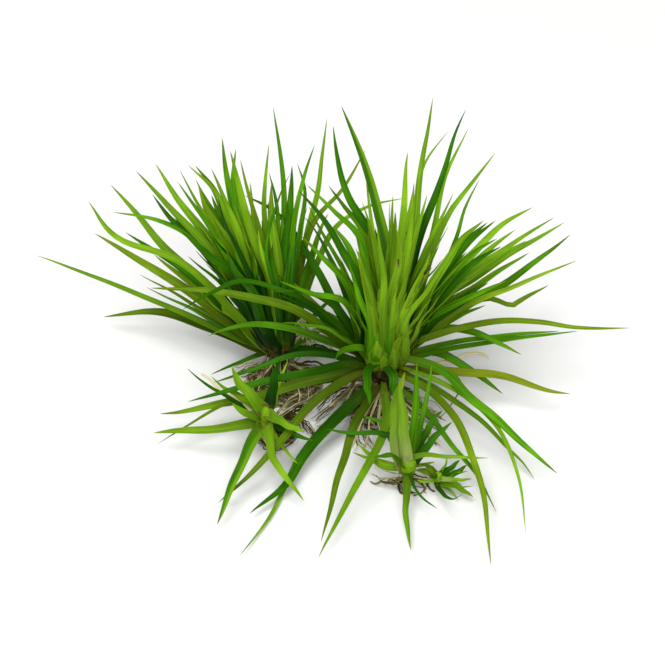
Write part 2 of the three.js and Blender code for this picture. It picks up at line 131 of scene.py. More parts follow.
# Leaves: tone, full width in mm, heights at the crown, half way and at the tip, course from the crown outwards
LEAVES = {
  "main": {
    "back": [
      ("dark", 1.9, (14, 30, 49.9), [(380, 250), (360, 215), (350, 200), (342, 180), (337, 155), (333, 125)]),
      ("twotone", 2.1, (15.5, 31.5, 51.4), [(392, 270), (385, 235), (375, 200), (360, 150), (341, 105)]),
      ("fresh", 1.5, (14.7, 32.6, 54), [(413, 240), (419, 180), (423, 155), (428, 130), (433, 97)]),
      ("dark", 2.0, (13.9, 30.8, 50), [(416, 250), (433, 205), (445, 168), (455, 135), (466, 109)]),
      ("fresh", 1.4, (11.4, 24.3, 37.8), [(420, 290), (435, 245), (450, 212), (470, 185), (496, 152)]),
      ("lime", 1.9, (15.5, 23.8, 33.4), [(447, 278), (470, 256), (485, 240), (505, 223), (533, 207)]),
    ],
    "right": [
      ("fresh", 1.7, (15, 21.6, 30), [(440, 300), (470, 280), (505, 257), (535, 240), (565, 222)]),
      ("green", 1.7, (11.7, 17.3, 24), [(445, 320), (480, 298), (510, 280), (550, 251), (571, 234)]),
      ("olive", 1.6, (15, 17.7, 11.9), [(465, 327), (500, 321), (540, 322), (575, 328), (631, 328)]),
      ("green", 1.9, (14.2, 16.1, 12.9), [(440, 330), (475, 332), (500, 344), (522, 355)]),
      ("green", 2.0, (11.1, 9.7, 2.8), [(430, 352), (455, 360), (475, 373), (503, 394)]),
      ("yellow", 1.9, (10.6, 8.2, 4.6), [(450, 372), (490, 374), (510, 378), (550, 391), (571, 394)]),
    ],
    "front": [
      ("green", 2.0, (14.6, 12, 2.9), [(440, 370), (470, 397), (500, 423), (540, 459), (558, 474)]),
      ("fresh", 1.5, (11.4, 7.4, 0.8), [(445, 395), (485, 425), (510, 450), (522, 462), (535, 480)]),
      ("lime", 1.2, (12.6, 10, 1.4), [(435, 380), (470, 400), (500, 432), (518, 475), (526, 534)]),
      ("olive", 1.7, (11.1, 9.7, 1.3), [(428, 390), (450, 412), (470, 450), (483, 495), (491, 566)]),
      ("fresh", 1.8, (9.6, 7.5, 1.8), [(385, 425), (365, 470), (340, 515), (322, 550), (318, 559)]),
      ("moss", 1.9, (8.7, 7.7, 3.5), [(378, 388), (360, 415), (342, 465), (330, 510), (321, 542)]),
      ("dark", 2.6, (8.7, 3.4, 1.6), [(335, 420), (303, 458), (285, 485), (249, 514)]),
      ("moss", 2.0, (11.8, 8.8, 1.6), [(345, 380), (305, 412), (280, 442), (255, 470), (218, 503)]),
    ],
    "left": [
      ("moss", 2.2, (10.9, 8.4, 4), [(300, 383), (255, 398), (215, 404), (180, 412), (159, 414)]),
      ("dark", 1.9, (9.3, 6.5, 3.3), [(320, 351), (275, 351), (235, 364), (210, 375)]),
      ("green", 1.7, (12.8, 18.6, 16.6), [(300, 331), (260, 324), (220, 331), (208, 336)]),
      ("moss", 1.8, (14.1, 26.3, 30.4), [(300, 313), (250, 297), (220, 292), (200, 290), (150, 288)]),
      ("dark", 1.7, (12.5, 24.7, 36.9), [(335, 305), (305, 250), (275, 212), (244, 195)]),
      ("dark", 2.3, (15.1, 33.4, 45), [(365, 300), (345, 255), (320, 215), (298, 190)]),
      ("green", 1.8, (12.3, 25.8, 39.2), [(367, 240), (343, 205), (328, 185)]),
    ],
  },
  "side": {
    "left": [
      ("fresh", 1.1, (8.9, 11.8, 14.3), [(180, 312), (150, 299), (100, 279), (50, 260), (35, 255)]),
      ("moss", 2.6, (7.5, 7.9, 3.4), [(220, 331), (180, 317), (145, 312), (103, 317)]),
      ("olive", 1.9, (9.6, 16.7, 23.6), [(200, 300), (155, 270), (120, 248), (94, 233)]),
      ("fresh", 1.9, (12, 20.7, 32.2), [(207, 287), (165, 248), (137, 214), (110, 184)]),
      ("fresh", 2.0, (12.8, 24.3, 38.9), [(220, 255), (190, 215), (175, 195), (155, 163)]),
      ("fresh", 2.0, (14.3, 25.1, 42.3), [(235, 245), (217, 195), (195, 165)]),
    ],
    "back": [
      ("green", 2.0, (9.9, 25, 43.4), [(268, 290), (240, 230), (228, 185), (222, 137)]),
      ("green", 1.9, (11, 25, 40.7), [(272, 290), (245, 240), (233, 185), (236, 148)]),
      ("fresh", 1.3, (12, 28.8, 46.8), [(268, 245), (264, 200), (269, 143)]),
      ("green", 1.3, (10.8, 27.7, 46.2), [(283, 245), (284, 185), (273, 106)]),
      ("dark", 2.1, (12.1, 25.4, 42), [(285, 260), (290, 215), (292, 165)]),
      ("fresh", 1.4, (10.9, 26.7, 43.9), [(303, 255), (318, 190), (322, 160), (327, 117)]),
      ("fresh", 1.3, (9.6, 20.4, 24.4), [(318, 262), (335, 228), (370, 206), (405, 198)]),
    ],
  },
  "left_plantlet": {
    "upper": [
      ("fresh", 2.0, (11.6, 14.5, 20), [(250, 395), (236, 378), (232, 367)]),
      ("lime", 1.9, (10.8, 11.7, 13.4), [(245, 400), (220, 385), (211, 376)]),
    ],
    "lower": [
      ("lime", 1.8, (8.2, 6.4, 3.9), [(235, 426), (205, 430), (170, 431), (153, 433)]),
      ("twotone", 2.0, (8.6, 6.3, 1.7), [(252, 442), (235, 478), (217, 525)]),
      ("lime", 1.7, (9.4, 7.2, 3), [(275, 462), (290, 482), (304, 501)]),
    ],
  },
  "right_plantlet": {
    "upper": [
      ("pale", 2.8, (5.9, 16.4, 26), [(396, 440), (394, 415), (398, 395), (405, 372)]),
      ("green", 1.5, (6.5, 13.9, 24.1), [(413, 430), (416, 400), (417, 362)]),
      ("green", 1.1, (6, 10.8, 17), [(422, 420), (428, 390), (432, 364)]),
    ],
    "lower": [
      ("dark", 1.1, (7.1, 9.2, 7.9), [(390, 436), (350, 433), (325, 429)]),
      ("fresh", 1.4, (4.3, 3, 1.3), [(406, 510), (407, 525), (411, 550)]),
    ],
  },
  "mini_plantlet": {},
}

# Leaves that are small or lie close between the others, grown on in one piece with their crown
SMALL_LEAVES = {
  "main": [
    ("fresh", 1.1, (15.3, 27.4, 44.2), [(384, 300), (371, 220), (368, 195), (366, 178)]),
    ("fresh", 1.0, (16, 26.9, 42.4), [(380, 290), (372, 235), (362, 201)]),
    ("lime", 1.8, (15.7, 32.8, 52.5), [(403, 220), (406, 165), (408, 151)]),
    ("lime", 2.0, (16.4, 30.4, 46.1), [(392, 310), (400, 250), (396, 227)]),
    ("fresh", 1.6, (15.4, 32.7, 47.3), [(384, 320), (383, 270), (377, 227)]),
    ("lime", 1.7, (16.4, 29, 47.9), [(400, 300), (412, 220), (414, 182)]),
    ("fresh", 1.0, (10.7, 28.1, 43.7), [(404, 300), (414, 215), (424, 165), (449, 130)]),
    ("fresh", 1.3, (15.3, 25.3, 41), [(410, 315), (428, 255), (446, 175), (469, 127)]),
    ("green", 1.0, (16.1, 29.1, 45.7), [(456, 240), (465, 208), (480, 178)]),
    ("fresh", 2.0, (16.9, 27.8, 41.8), [(430, 290), (460, 242), (484, 220)]),
    ("dark", 1.8, (15.8, 25.4, 37.2), [(440, 280), (470, 242), (496, 220)]),
    ("fresh", 1.4, (15.6, 24.5, 31.2), [(460, 280), (510, 245), (555, 217)]),
    ("olive", 1.2, (15.3, 21, 26.9), [(470, 305), (520, 284), (578, 260)]),
    ("green", 1.6, (16.6, 21.7, 31), [(410, 332), (450, 307), (508, 280)]),
    ("olive", 1.5, (11, 15.1, 6.9), [(485, 299), (504, 303.4), (510.5, 305.4), (516, 302.6), (549, 285)]),
    ("green", 1.2, (11.6, 11.7, 10.1), [(460, 347), (520, 338), (579, 331)]),
    ("green", 1.2, (12.7, 13.6, 12.9), [(440, 345), (500, 336), (560, 331)]),
    ("green", 1.2, (8.8, 6.6, 1.2), [(425, 410), (452, 445), (475, 472), (497, 513)]),
    ("fresh", 1.2, (7.4, 1.4, 1.1), [(332, 424), (303, 459), (286, 485), (270, 517), (238, 558)]),
    ("moss", 1.3, (9.9, 7.6, 2.8), [(290, 388), (230, 402), (185, 427), (156, 445)]),
    ("dark", 2.0, (11.6, 14.2, 10.7), [(345, 365), (300, 375), (250, 385), (187, 402)]),
    ("dark", 1.5, (11.8, 11.8, 6.5), [(300, 354), (250, 371), (212, 383)]),
    ("dark", 1.2, (13.8, 26.5, 33.7), [(310, 304), (270, 287), (240, 281), (210, 293), (182, 310)]),
    ("green", 1.4, (17.2, 24.5, 30.7), [(345, 303), (310, 293), (279, 281)]),
    ("green", 1.4, (15.8, 18.5, 22.7), [(362, 349), (343, 350), (335, 359)]),
    ("green", 1.6, (15.7, 29.7, 42.3), [(360, 240), (335, 212), (306, 184)]),
    ("green", 1.0, (16.3, 26.4, 38.4), [(345, 275), (318, 225), (308, 205)]),
    ("green", 2.0, (17.6, 26.3, 36.4), [(350, 290), (320, 255), (300, 235)]),
    ("lime", 1.8, (16, 27, 39.2), [(380, 330), (375, 310), (360, 262)]),
    ("dark", 1.9, (14.8, 14.5, 13.5), [(378, 362), (368, 372), (370, 405)]),
    ("dark", 2.3, (15.3, 12, 8.6), [(388, 364), (393, 378), (393, 397)]),
    ("moss", 0.8, (13.9, 12.4, 0.8), [(460, 381), (447, 410), (437, 420)]),
    ("green", 1.6, (9.5, 9.2, 7.3), [(376, 340), (352, 290), (338, 262)]),
    ("dark", 1.8, (10.2, 10.6, 9.4), [(384, 335), (372, 285), (362, 250)]),
    ("olive", 1.8, (9.1, 8, 5.4), [(390, 336), (398, 290), (402, 262)]),
    ("green", 1.7, (9.7, 10.4, 10.3), [(396, 338), (418, 290), (430, 256)]),
    ("dark", 1.6, (8.8, 7.4, 5.8), [(402, 342), (440, 305), (462, 280)]),
    ("green", 1.5, (10.4, 9.1, 5.8), [(406, 348), (455, 318), (486, 305)]),
    ("green", 1.5, (9.1, 8.3, 5.1), [(365, 348), (335, 318), (312, 306)]),
    ("lime", 2.2, (17.5, 28.5, 39), [(398, 318), (408, 275), (416, 236)]),
    ("lime", 2.2, (17.3, 27, 36.5), [(402, 320), (418, 285), (431, 252)]),
    ("lime", 2.0, (17, 26, 34.5), [(406, 324), (428, 290), (447, 262)]),
    ("green", 2.3, (15.3, 26, 35.3), [(371, 335), (360, 300), (348, 262)]),
    ("fresh", 2.2, (15.2, 28, 39.2), [(376, 330), (367, 290), (358, 250)]),
    ("dark", 2.2, (16.5, 27, 39), [(436, 286), (462, 246), (488, 222)]),
    ("green", 2.0, (16, 26, 36), [(442, 288), (470, 256), (498, 238)]),
    ("dark", 2.0, (15.5, 25, 34), [(446, 292), (476, 262), (502, 246)]),
  ],
  "side": [
    ("lime", 1.5, (10.7, 29.6, 31.1), [(180, 262), (120, 240), (88, 201)]),
    ("dark", 1.7, (12.5, 21.4, 30), [(180, 268), (150, 248), (125, 232)]),
    ("green", 1.4, (13.1, 27.8, 30.4), [(200, 245), (160, 221), (112, 212)]),
    ("dark", 1.9, (12.9, 23.8, 35.3), [(200, 245), (170, 218), (152, 194)]),
    ("fresh", 1.8, (13.7, 28.7, 41.1), [(210, 250), (165, 202), (135, 170)]),
    ("green", 1.5, (16, 29, 42.5), [(215, 235), (190, 200), (177, 181)]),
    ("fresh", 1.4, (15, 27.3, 45.2), [(260, 295), (210, 225), (179, 169)]),
    ("fresh", 1.4, (15.4, 29.4, 43.7), [(235, 235), (215, 192), (187, 164)]),
    ("lime", 2.2, (14.8, 25.6, 40.2), [(220, 243), (210, 220), (198, 184)]),
    ("fresh", 1.8, (16.3, 30.2, 46.8), [(240, 240), (220, 188), (211, 168)]),
    ("deep", 1.9, (15.7, 30.2, 47.1), [(250, 275), (225, 225), (218, 197)]),
    ("fresh", 2.6, (16.5, 32.5, 48.8), [(272, 290), (250, 230), (230, 150)]),
    ("lime", 1.2, (14.1, 28.9, 47.2), [(264, 245), (250, 200), (240, 158)]),
    ("green", 1.2, (15.2, 27.5, 47.4), [(280, 290), (277, 210), (269, 172)]),
    ("dark", 0.8, (14.7, 33.7, 49), [(278, 300), (266, 250), (280, 195), (291, 172)]),
    ("green", 1.3, (16.1, 28.3, 43.8), [(300, 230), (305, 190), (297, 162)]),
    ("green", 1.5, (14, 32.8, 47.3), [(290, 305), (292, 245), (303, 180), (315, 144)]),
    ("dark", 1.1, (14.1, 29.6, 43), [(291, 310), (296, 245), (308, 205)]),
    ("olive", 1.2, (15.7, 27.7, 39.2), [(313, 225), (342, 190), (366, 149)]),
    ("dark", 2.2, (15.4, 26.9, 39.9), [(238, 278), (208, 254), (180, 230)]),
    ("dark", 2.2, (14.3, 25.2, 37.1), [(250, 290), (236, 272), (226, 250)]),
    ("dark", 1.5, (7.8, 7.6, 6.2), [(278, 326), (262, 285), (252, 268)]),
    ("deep", 1.8, (8.1, 8.8, 8.4), [(286, 326), (284, 280), (280, 255)]),
    ("olive", 1.5, (7.5, 6.8, 5.2), [(294, 326), (306, 290), (312, 270)]),
    ("dark", 1.5, (7.2, 5.8, 3.7), [(299, 333), (325, 305), (340, 296)]),
    ("green", 1.4, (8.2, 6.7, 3.2), [(302, 340), (330, 325), (352, 322)]),
    ("dark", 2.6, (15.5, 29, 42), [(282, 290), (288, 235), (291, 180)]),
    ("dark", 2.2, (15.8, 27, 36), [(286, 292), (292, 250), (296, 215)]),
    ("lime", 2.4, (11, 16, 22), [(238, 318), (212, 298), (186, 276)]),
  ],
  "left_plantlet": [
    ("dark", 1.1, (8.8, 10, 11.7), [(220, 393), (200, 380), (187, 368)]),
    ("fresh", 1.7, (9, 10.1, 12.4), [(250, 415), (240, 410), (232, 403)]),
    ("lime", 0.9, (7.9, 6.2, 4.2), [(283, 447), (290, 456), (298, 464)]),
    ("fresh", 1.7, (10.6, 10.4, 10.4), [(275, 418), (285, 424), (305, 432)]),
    ("dark", 1.5, (9, 7.9, 6.8), [(285, 430), (295, 435), (314, 441)]),
    ("deep", 1.8, (8.7, 13.7, 18.9), [(272, 395), (275, 375), (280, 360)]),
    ("lime", 0.9, (8, 11.2, 14.2), [(274, 406), (278, 385), (288, 361)]),
  ],
  "right_plantlet": [
    ("pale", 2.0, (7.1, 17.1, 26.9), [(404, 430), (402, 405), (400, 380)]),
    ("green", 1.0, (4.3, 7.8, 7.4), [(396, 450), (378, 421), (350, 416)]),
    ("lime", 1.2, (4.3, 5.9, 9), [(385, 467), (370, 455), (357, 443)]),
    ("lime", 0.9, (5.1, 4.6, 4.2), [(380, 461), (365, 457), (352, 452)]),
    ("green", 1.2, (5, 11, 16), [(400, 462), (391, 456), (372, 458)]),
    ("lime", 0.9, (7.6, 8.1, 8), [(425, 455), (450, 457), (489, 458)]),
    ("dark", 0.6, (5, 4.2, 3.9), [(416, 490), (425, 500), (438, 509)]),
    ("dark", 1.6, (4.6, 8, 11.2), [(425, 435), (433, 420), (443, 410)]),
    ("dark", 1.5, (5.1, 8.2, 11), [(428, 445), (440, 432), (452, 422)]),
    ("yellow", 0.9, (4.5, 2.6, 1.5), [(412, 467), (420, 465), (435, 462)]),
  ],
  "mini_plantlet": [
    ("olive", 1.7, (3, 2.9, 2.6), [(432, 474), (424, 471), (415, 470)]),
    ("moss", 1.2, (3.5, 4.5, 5), [(434, 472), (428, 466), (420, 464)]),
    ("fresh", 1.9, (3, 2.5, 1.4), [(441, 481), (457, 487), (473, 497)]),
    ("pale", 0.9, (3.5, 4.9, 6.9), [(442, 479), (455, 480), (472, 479)]),
    ("dark", 0.8, (2.8, 4.1, 8.4), [(437, 483), (450, 499), (462, 495)]),
    ("dark", 1.4, (3.8, 4.1, 5.1), [(440, 476), (447, 471), (460, 460)]),
    ("dark", 1.4, (3.6, 3.7, 4.4), [(442, 477), (452, 475), (467, 465)]),
    ("moss", 1.0, (3.2, 6.1, 8.4), [(435, 477), (430, 470), (424, 468)]),
    ("lime", 0.6, (3.2, 3.6, 3.6), [(446, 479), (459, 473), (468, 471)]),
    ("lime", 0.5, (3.2, 2.6, 1.8), [(446, 484), (460, 487), (474, 486)]),
    ("fresh", 0.6, (3.4, 4.6, 5.8), [(440, 473), (446, 464), (447, 456)]),
    ("fresh", 0.6, (3, 2, 1), [(442, 485), (452, 492), (458, 500)]),
    ("lime", 0.6, (3.4, 3.4, 3), [(433, 481), (424, 482), (414, 478)]),
  ],
}

# Roots that trail from a crown: their heights at the crown, half way and at the end, and their course
STRANDS = {
  "main": [
    ((6, 4, 0.6), [(350, 392), (340, 400), (315, 425)]),
    ((6, 3, 0.6), [(376, 400), (378, 415)]),
    ((6, 3, 0.6), [(362, 410), (356, 430), (366, 448)]),
    ((6, 3, 0.6), [(430, 405), (444, 418)]),
    ((6, 3, 0.6), [(418, 420), (438, 442)]),
    ((6, 3, 0.6), [(340, 394), (328, 408)]),
  ],
  "side": [
    ((5, 3, 0.6), [(318, 342), (336, 352)]),
    ((5, 3, 0.6), [(315, 368), (330, 374)]),
    ((5, 3, 0.6), [(262, 366), (240, 374)]),
    ((5, 3, 0.6), [(278, 376), (262, 384)]),
    ((5, 4, 0.6), [(310, 334), (326, 334)]),
  ],
  "left_plantlet": [
    ((6, 4, 0.6), [(290, 408), (312, 402)]),
    ((6, 3, 0.6), [(300, 420), (313, 437)]),
    ((6, 3, 0.6), [(288, 414), (298, 410)]),
  ],
  "right_plantlet": [
    ((3, 2, 0.6), [(390, 478), (376, 474)]),
    ((3, 2, 0.6), [(424, 480), (434, 492)]),
  ],
}

# More roots that show in the front view, too fine for the CAD: how many lie together, radius in mm, age, heights,
# course from the crown
ROOTLETS = {
  "main": [
    (1, 0.42, 0.0, (7, 6.5, 3.5), [(430, 366), (457, 358), (465, 354), (475, 353), (485, 355), (490, 360)]),
    (2, 0.4, 0.6, (8.5, 7.5, 4), [(356, 378), (352, 386), (340, 397), (328, 408)]),
    (3, 0.3, 0.35, (7, 6, 2), [(356, 386), (345, 404), (332, 420), (318, 428)]),
    (3, 0.3, 0.85, (7.5, 6, 3.5), [(356, 375), (343, 380), (329, 386)]),
    (3, 0.26, 0.9, (7, 5.5, 2.5), [(352, 380), (338, 388), (324, 396)]),
    (2, 0.2, 0.5, (6.5, 5, 1.5), [(362, 396), (345, 408), (330, 420), (316, 426)]),
    (2, 0.42, 0.1, (8, 6, 2.5), [(374, 374), (377, 384), (381, 396), (382, 410)]),
    (3, 0.26, 0.2, (7, 5, 2), [(372, 378), (376, 392), (380, 402), (384, 412)]),
    (3, 0.24, 0.2, (6.5, 4, 1), [(362, 420), (357, 436), (352, 449)]),
    (2, 0.22, 0.2, (6.5, 4, 1), [(370, 418), (368, 436), (362, 450)]),
    (2, 0.2, 0.2, (6.5, 4, 1), [(378, 420), (380, 434), (372, 446)]),
    (2, 0.22, 0.5, (6.5, 4, 1), [(345, 388), (330, 396), (316, 410)]),
    (3, 0.24, 0.2, (6.5, 4, 1), [(404, 398), (426, 410), (440, 416)]),
    (3, 0.2, 0.2, (6.5, 4, 1), [(404, 410), (424, 428), (440, 445)]),
    (3, 0.2, 0.3, (6.5, 4, 1), [(400, 410), (418, 432), (430, 440)]),
    (3, 0.28, 0.7, (6.5, 4.5, 2), [(412, 404), (428, 416), (438, 426)]),
    (3, 0.26, 0.7, (6, 4, 1.5), [(410, 408), (424, 424), (433, 440)]),
    (3, 0.26, 0.8, (6, 4, 1), [(408, 410), (418, 430), (424, 448)]),
  ],
  "side": [
    (2, 0.46, 0.0, (10.5, 10.5, 6), [(298, 322), (303, 331), (301, 347)]),
    (2, 0.42, 0.0, (10, 10, 6), [(295, 326), (293, 337), (287, 348)]),
    (2, 0.4, 0.0, (10, 10, 5), [(306, 320), (316, 326), (326, 336), (333, 350)]),
    (2, 0.4, 0.0, (10.5, 10, 5), [(302, 322), (310, 332), (313, 346)]),
    (2, 0.26, 0.1, (9, 8, 5), [(300, 334), (308, 342), (312, 352)]),
    (1, 0.24, 0.05, (11, 12, 9), [(298, 322), (306, 317), (316, 319), (324, 324)]),
    (3, 0.24, 0.1, (9, 8, 4), [(312, 330), (330, 336), (344, 346)]),
    (3, 0.22, 0.3, (6, 4, 1), [(262, 362), (246, 362), (232, 368)]),
    (3, 0.22, 0.3, (6, 4, 1), [(266, 354), (252, 356), (240, 362)]),
    (3, 0.2, 0.5, (6, 4, 1), [(296, 384), (300, 398), (294, 412)]),
    (3, 0.2, 0.5, (6, 4, 1), [(304, 380), (310, 394), (306, 408)]),
  ],
  "left_plantlet": [
    (1, 0.34, 0.0, (9, 9.5, 8), [(252, 411), (238, 399), (222, 392), (210, 380), (200, 373)]),
    (2, 0.18, 0.6, (7, 4, 1), [(296, 414), (305, 424), (312, 430), (313, 438)]),
    (3, 0.2, 0.5, (7, 5, 2), [(284, 406), (290, 398), (302, 392)]),
    (3, 0.2, 0.4, (7, 5, 2), [(284, 412), (296, 404), (310, 398), (322, 388)]),
    (2, 0.2, 0.3, (6, 4, 1), [(262, 436), (268, 446), (264, 458)]),
  ],
  "right_plantlet": [
    (1, 0.18, 0.3, (3.5, 3, 1), [(420, 478), (436, 480), (452, 476)]),
    (1, 0.16, 0.3, (3.5, 3, 1), [(398, 474), (384, 470), (372, 462)]),
  ],
}

# Scraps of dead root that lie on the leaves: radius in mm, age, heights, where they are seen
SCRAPS = {
  "main": [
    (0.24, 1.0, (32, 31.5, 31), [(429.5, 265.5), (428, 268), (427, 270.5)]),
    (0.24, 1.0, (33.4, 33.1, 32.9), [(426.5, 270.5), (425.5, 273), (424.8, 275.5)]),
    (0.1, 0.8, (33.8, 32.3, 30.7), [(424, 277.5), (421.5, 283), (419, 289)]),
    (0.17, 0.6, (38.7, 37.9, 37), [(398, 259), (398.5, 263), (399, 267)]),
  ],
}


# ---------------------------------------------------------------- settings

def linear(code):
    """An sRGB hex colour as linear red, green, blue and alpha: a part v goes to v / 12.92 when it is small, and else
    to (v + 0.055) / 1.055 to the power 2.4."""
    parts = np.array([int(code[i:i + 2], 16) for i in (1, 3, 5)]) / 255
    parts = np.where(parts <= 0.04045, parts / 12.92, ((parts + 0.055) / 1.055) ** 2.4)
    return (*parts.tolist(), 1.0)


def colour_property(name, code, note):
    """A colour of the panel: its name, its hex code as the linear default, and what it is."""
    return FloatVectorProperty(name=name, description=note, default=linear(code), subtype="COLOR", size=4, min=0, max=1)


class ClumpLeafSettings(bpy.types.PropertyGroup):
    """The shape of the leaves, and the colour of each tone of TONES."""
    steps: IntProperty(name="Steps", description="Rings along a leaf", default=40, min=8, max=120)
    sides: IntProperty(name="Sides", description="Points round a leaf", default=14, min=6, max=32)
    thickness: FloatProperty(name="Thickness", description="Leaf thickness at its base", default=0.34 * MM,
                             min=0.1 * MM, max=MM, unit="LENGTH", precision=5)
    channel: FloatProperty(name="Channel", description="How far the edges stand up, of half the width", default=0.42,
                           min=0, max=1, subtype="FACTOR")
    broad: FloatProperty(name="Breadth", description="Width of a rising leaf, of its CAD solid's", default=1.0,
                         min=0.5, max=2, subtype="FACTOR")
    slender: FloatProperty(name="Hanging breadth", description="Width of a lying or hanging leaf, of its CAD solid's",
                           default=0.88, min=0.5, max=2, subtype="FACTOR")
    flare: FloatProperty(name="Clasping base", description="Extra width where a leaf clasps the stem", default=0.5,
                         min=0, max=1, subtype="FACTOR")
    twist: FloatProperty(name="Twist", description="Usual turn of a leaf from base to tip", default=math.radians(22),
                         min=0, max=math.pi, subtype="ANGLE")


ClumpLeafSettings.__annotations__.update({tone: colour_property(*row[:3]) for tone, row in TONES.items()})


class ClumpRootSettings(bpy.types.PropertyGroup):
    """How many roots there are, how thick they are and their colours."""
    fine: IntProperty(name="Fine roots", description="Fine roots in a full, large mat", default=190, min=10, max=600)
    stout: IntProperty(name="Stout roots", description="Stout roots in a full, large mat", default=34, min=2, max=200)
    radius: FloatProperty(name="Fine root radius", description="Radius of a fine root", default=0.11 * MM,
                          min=0.03 * MM, max=0.5 * MM, unit="LENGTH", precision=5)
    young: colour_property("Living root", "#e6dda8", "Young, cream-white roots")
    old: colour_property("Old root", "#5c5114", "Old roots, stained brown")


class ClumpStudioSettings(bpy.types.PropertyGroup):
    """The floor, the lamps and the camera."""
    floor: colour_property("Floor", "#e6e6e4", "Colour of the studio floor")
    key: FloatProperty(name="Key lamp", description="Power of the large lamp over the clump", default=8.0, min=0,
                       max=100, unit="POWER")
    fill: FloatProperty(name="Fill lamp", description="Power of the lamp beside the camera", default=6.0, min=0,
                        max=100, unit="POWER")
    sky: FloatProperty(name="Room light", description="Strength of the light from all round", default=0.5, min=0,
                       max=5)
    elevation: FloatProperty(name="Camera elevation", description="Angle that the camera looks down at",
                             default=ELEVATION, min=0, max=math.pi / 2, subtype="ANGLE")
    distance: FloatProperty(name="Camera distance", description="From the camera to the middle of the view",
                            default=DISTANCE * MM, min=0.1, max=5, unit="LENGTH")


# ---------------------------------------------------------------- courses

TURN = 2 * math.pi
SINK = 0.7         # how deep a root or a hanging leaf starts inside the stem, in mm
NEAREST = 0.2      # least distance of such a start from the stem's axis, in mm
STOUT = 3.0        # stem radius in mm from which a plant is a full rosette
RISE = 4.0         # how much higher than its crown a rising leaf ends, in mm
FLOOR_GAP = 0.02   # room left under a root that lies on the floor, in mm
FACING = 1.3       # weight of the view against the stem in how a leaf's face is turned
SHIFT = 90         # range of the numbers that give each leaf and root a pattern of its own
ODD_WAY = np.array([0.31, 0.17, 0.93])   # a direction that no root starts in


def unit(vectors):
    """Vectors over their lengths."""
    return vectors / np.maximum(np.linalg.norm(vectors, axis=-1, keepdims=True), 1e-9)


def from_picture(seen, height):
    """Points in mm: where the rays from the eye through the picture points meet planes at the given heights."""
    seen = np.asarray(seen, float)
    eye = CENTRE - DISTANCE * FORWARD
    ray = DISTANCE * FORWARD + UPWARD * ((MIDDLE - seen[..., 1]) * POINT)[..., None]
    ray = ray + ACROSS * ((seen[..., 0] - MIDDLE) * POINT)[..., None]
    return eye + ray * ((np.asarray(height) - eye[2]) / ray[..., 2])[..., None]


def height_along(heights, share):
    """The parabola through the heights at the start, half way and at the end."""
    first, middle, last = heights
    bend = 4 * middle - 3 * first - last
    return first + bend * share + (last - first - bend) * share ** 2


def centripetal(points, samples=24):
    """The centripetal Catmull-Rom curve through the points: on each stretch a cubic whose end tangents weigh the
    neighbouring stretches by the square root of their lengths."""
    p = np.vstack([2 * points[0] - points[1], points, 2 * points[-1] - points[-2]])
    p0, p1, p2, p3 = p[:-3], p[1:-2], p[2:-1], p[3:]
    gap = np.sqrt(np.maximum(np.linalg.norm(np.diff(p, axis=0), axis=1), 1e-4))[:, None]
    d0, d1, d2 = gap[:-2], gap[1:-1], gap[2:]
    m1 = ((p1 - p0) / d0 - (p2 - p0) / (d0 + d1) + (p2 - p1) / d1) * d1
    m2 = ((p2 - p1) / d1 - (p3 - p1) / (d1 + d2) + (p3 - p2) / d2) * d1
    u = np.linspace(0, 1, samples, endpoint=False)[None, :, None]
    a, b, c, e = p1[:, None], m1[:, None], p2[:, None], m2[:, None]
    curve = a + b * u + (3 * c - 3 * a - 2 * b - e) * u ** 2 + (2 * a - 2 * c + b + e) * u ** 3
    return np.vstack([curve.reshape(-1, 3), points[-1]])


def through(knots, samples):
    """Uniform Catmull-Rom curves through the knots of many strands at once: the cubic between two knots whose
    tangent at each is half the way from the knot before it to the one after."""
    k = np.concatenate([2 * knots[:, :1] - knots[:, 1:2], knots, 2 * knots[:, -1:] - knots[:, -2:-1]], axis=1)
    x = np.linspace(0, knots.shape[1] - 1, samples)
    i = np.minimum(x.astype(int), knots.shape[1] - 2)
    u = (x - i)[None, :, None]
    p0, p1, p2, p3 = k[:, i], k[:, i + 1], k[:, i + 2], k[:, i + 3]
    return 0.5 * (2 * p1 + (p2 - p0) * u + (2 * p0 - 5 * p1 + 4 * p2 - p3) * u ** 2
                  + (3 * p1 - p0 - 3 * p2 + p3) * u ** 3)


def run_along(points):
    """Distance from the start to each point of a polyline, or of each of many: the sum of the steps before it."""
    steps = np.linalg.norm(np.diff(points, axis=-2), axis=-1)
    return np.concatenate([np.zeros_like(steps[..., :1]), np.cumsum(steps, axis=-1)], axis=-1)


def at_shares(curve, share):
    """Points of a fine polyline at shares of its length, and that length."""
    run = run_along(curve)
    return np.stack([np.interp(share * run[-1], run, curve[:, k]) for k in range(3)], axis=1), run[-1]


def large(plant):
    """Whether a plant is one of the two full rosettes, and not a daughter plant."""
    return CROWNS[plant][3] > STOUT


def rises(heights):
    """Whether a leaf with these heights stands up, with its tip well above its crown, and doesn't lie or droop."""
    return heights[2] > heights[0] + RISE


def rising_rows(plant):
    """The rows of a plant's leaves that stand up, the small ones first."""
    rows = SMALL_LEAVES[plant] + [row for part in LEAVES[plant].values() for row in part]
    return [row for row in rows if rises(row[2])]


def crown_middle(plant):
    """The middle of the fine stem: the CAD crown's, moved to the side by what FEET says."""
    seen, low, high = CROWNS[plant][:3]
    return from_picture(seen, (low + high) / 2) + ACROSS * FEET[plant][1]


def skin_share(level):
    """Distance of the stem's skin from its axis, of its radius, at a level l from 0 at its foot to 1 at its top: the
    root of 1 - (2 l - 1) squared, and not less than the root of 0.05."""
    return np.sqrt(np.maximum(0.05, 1 - (2 * level - 1) ** 2))


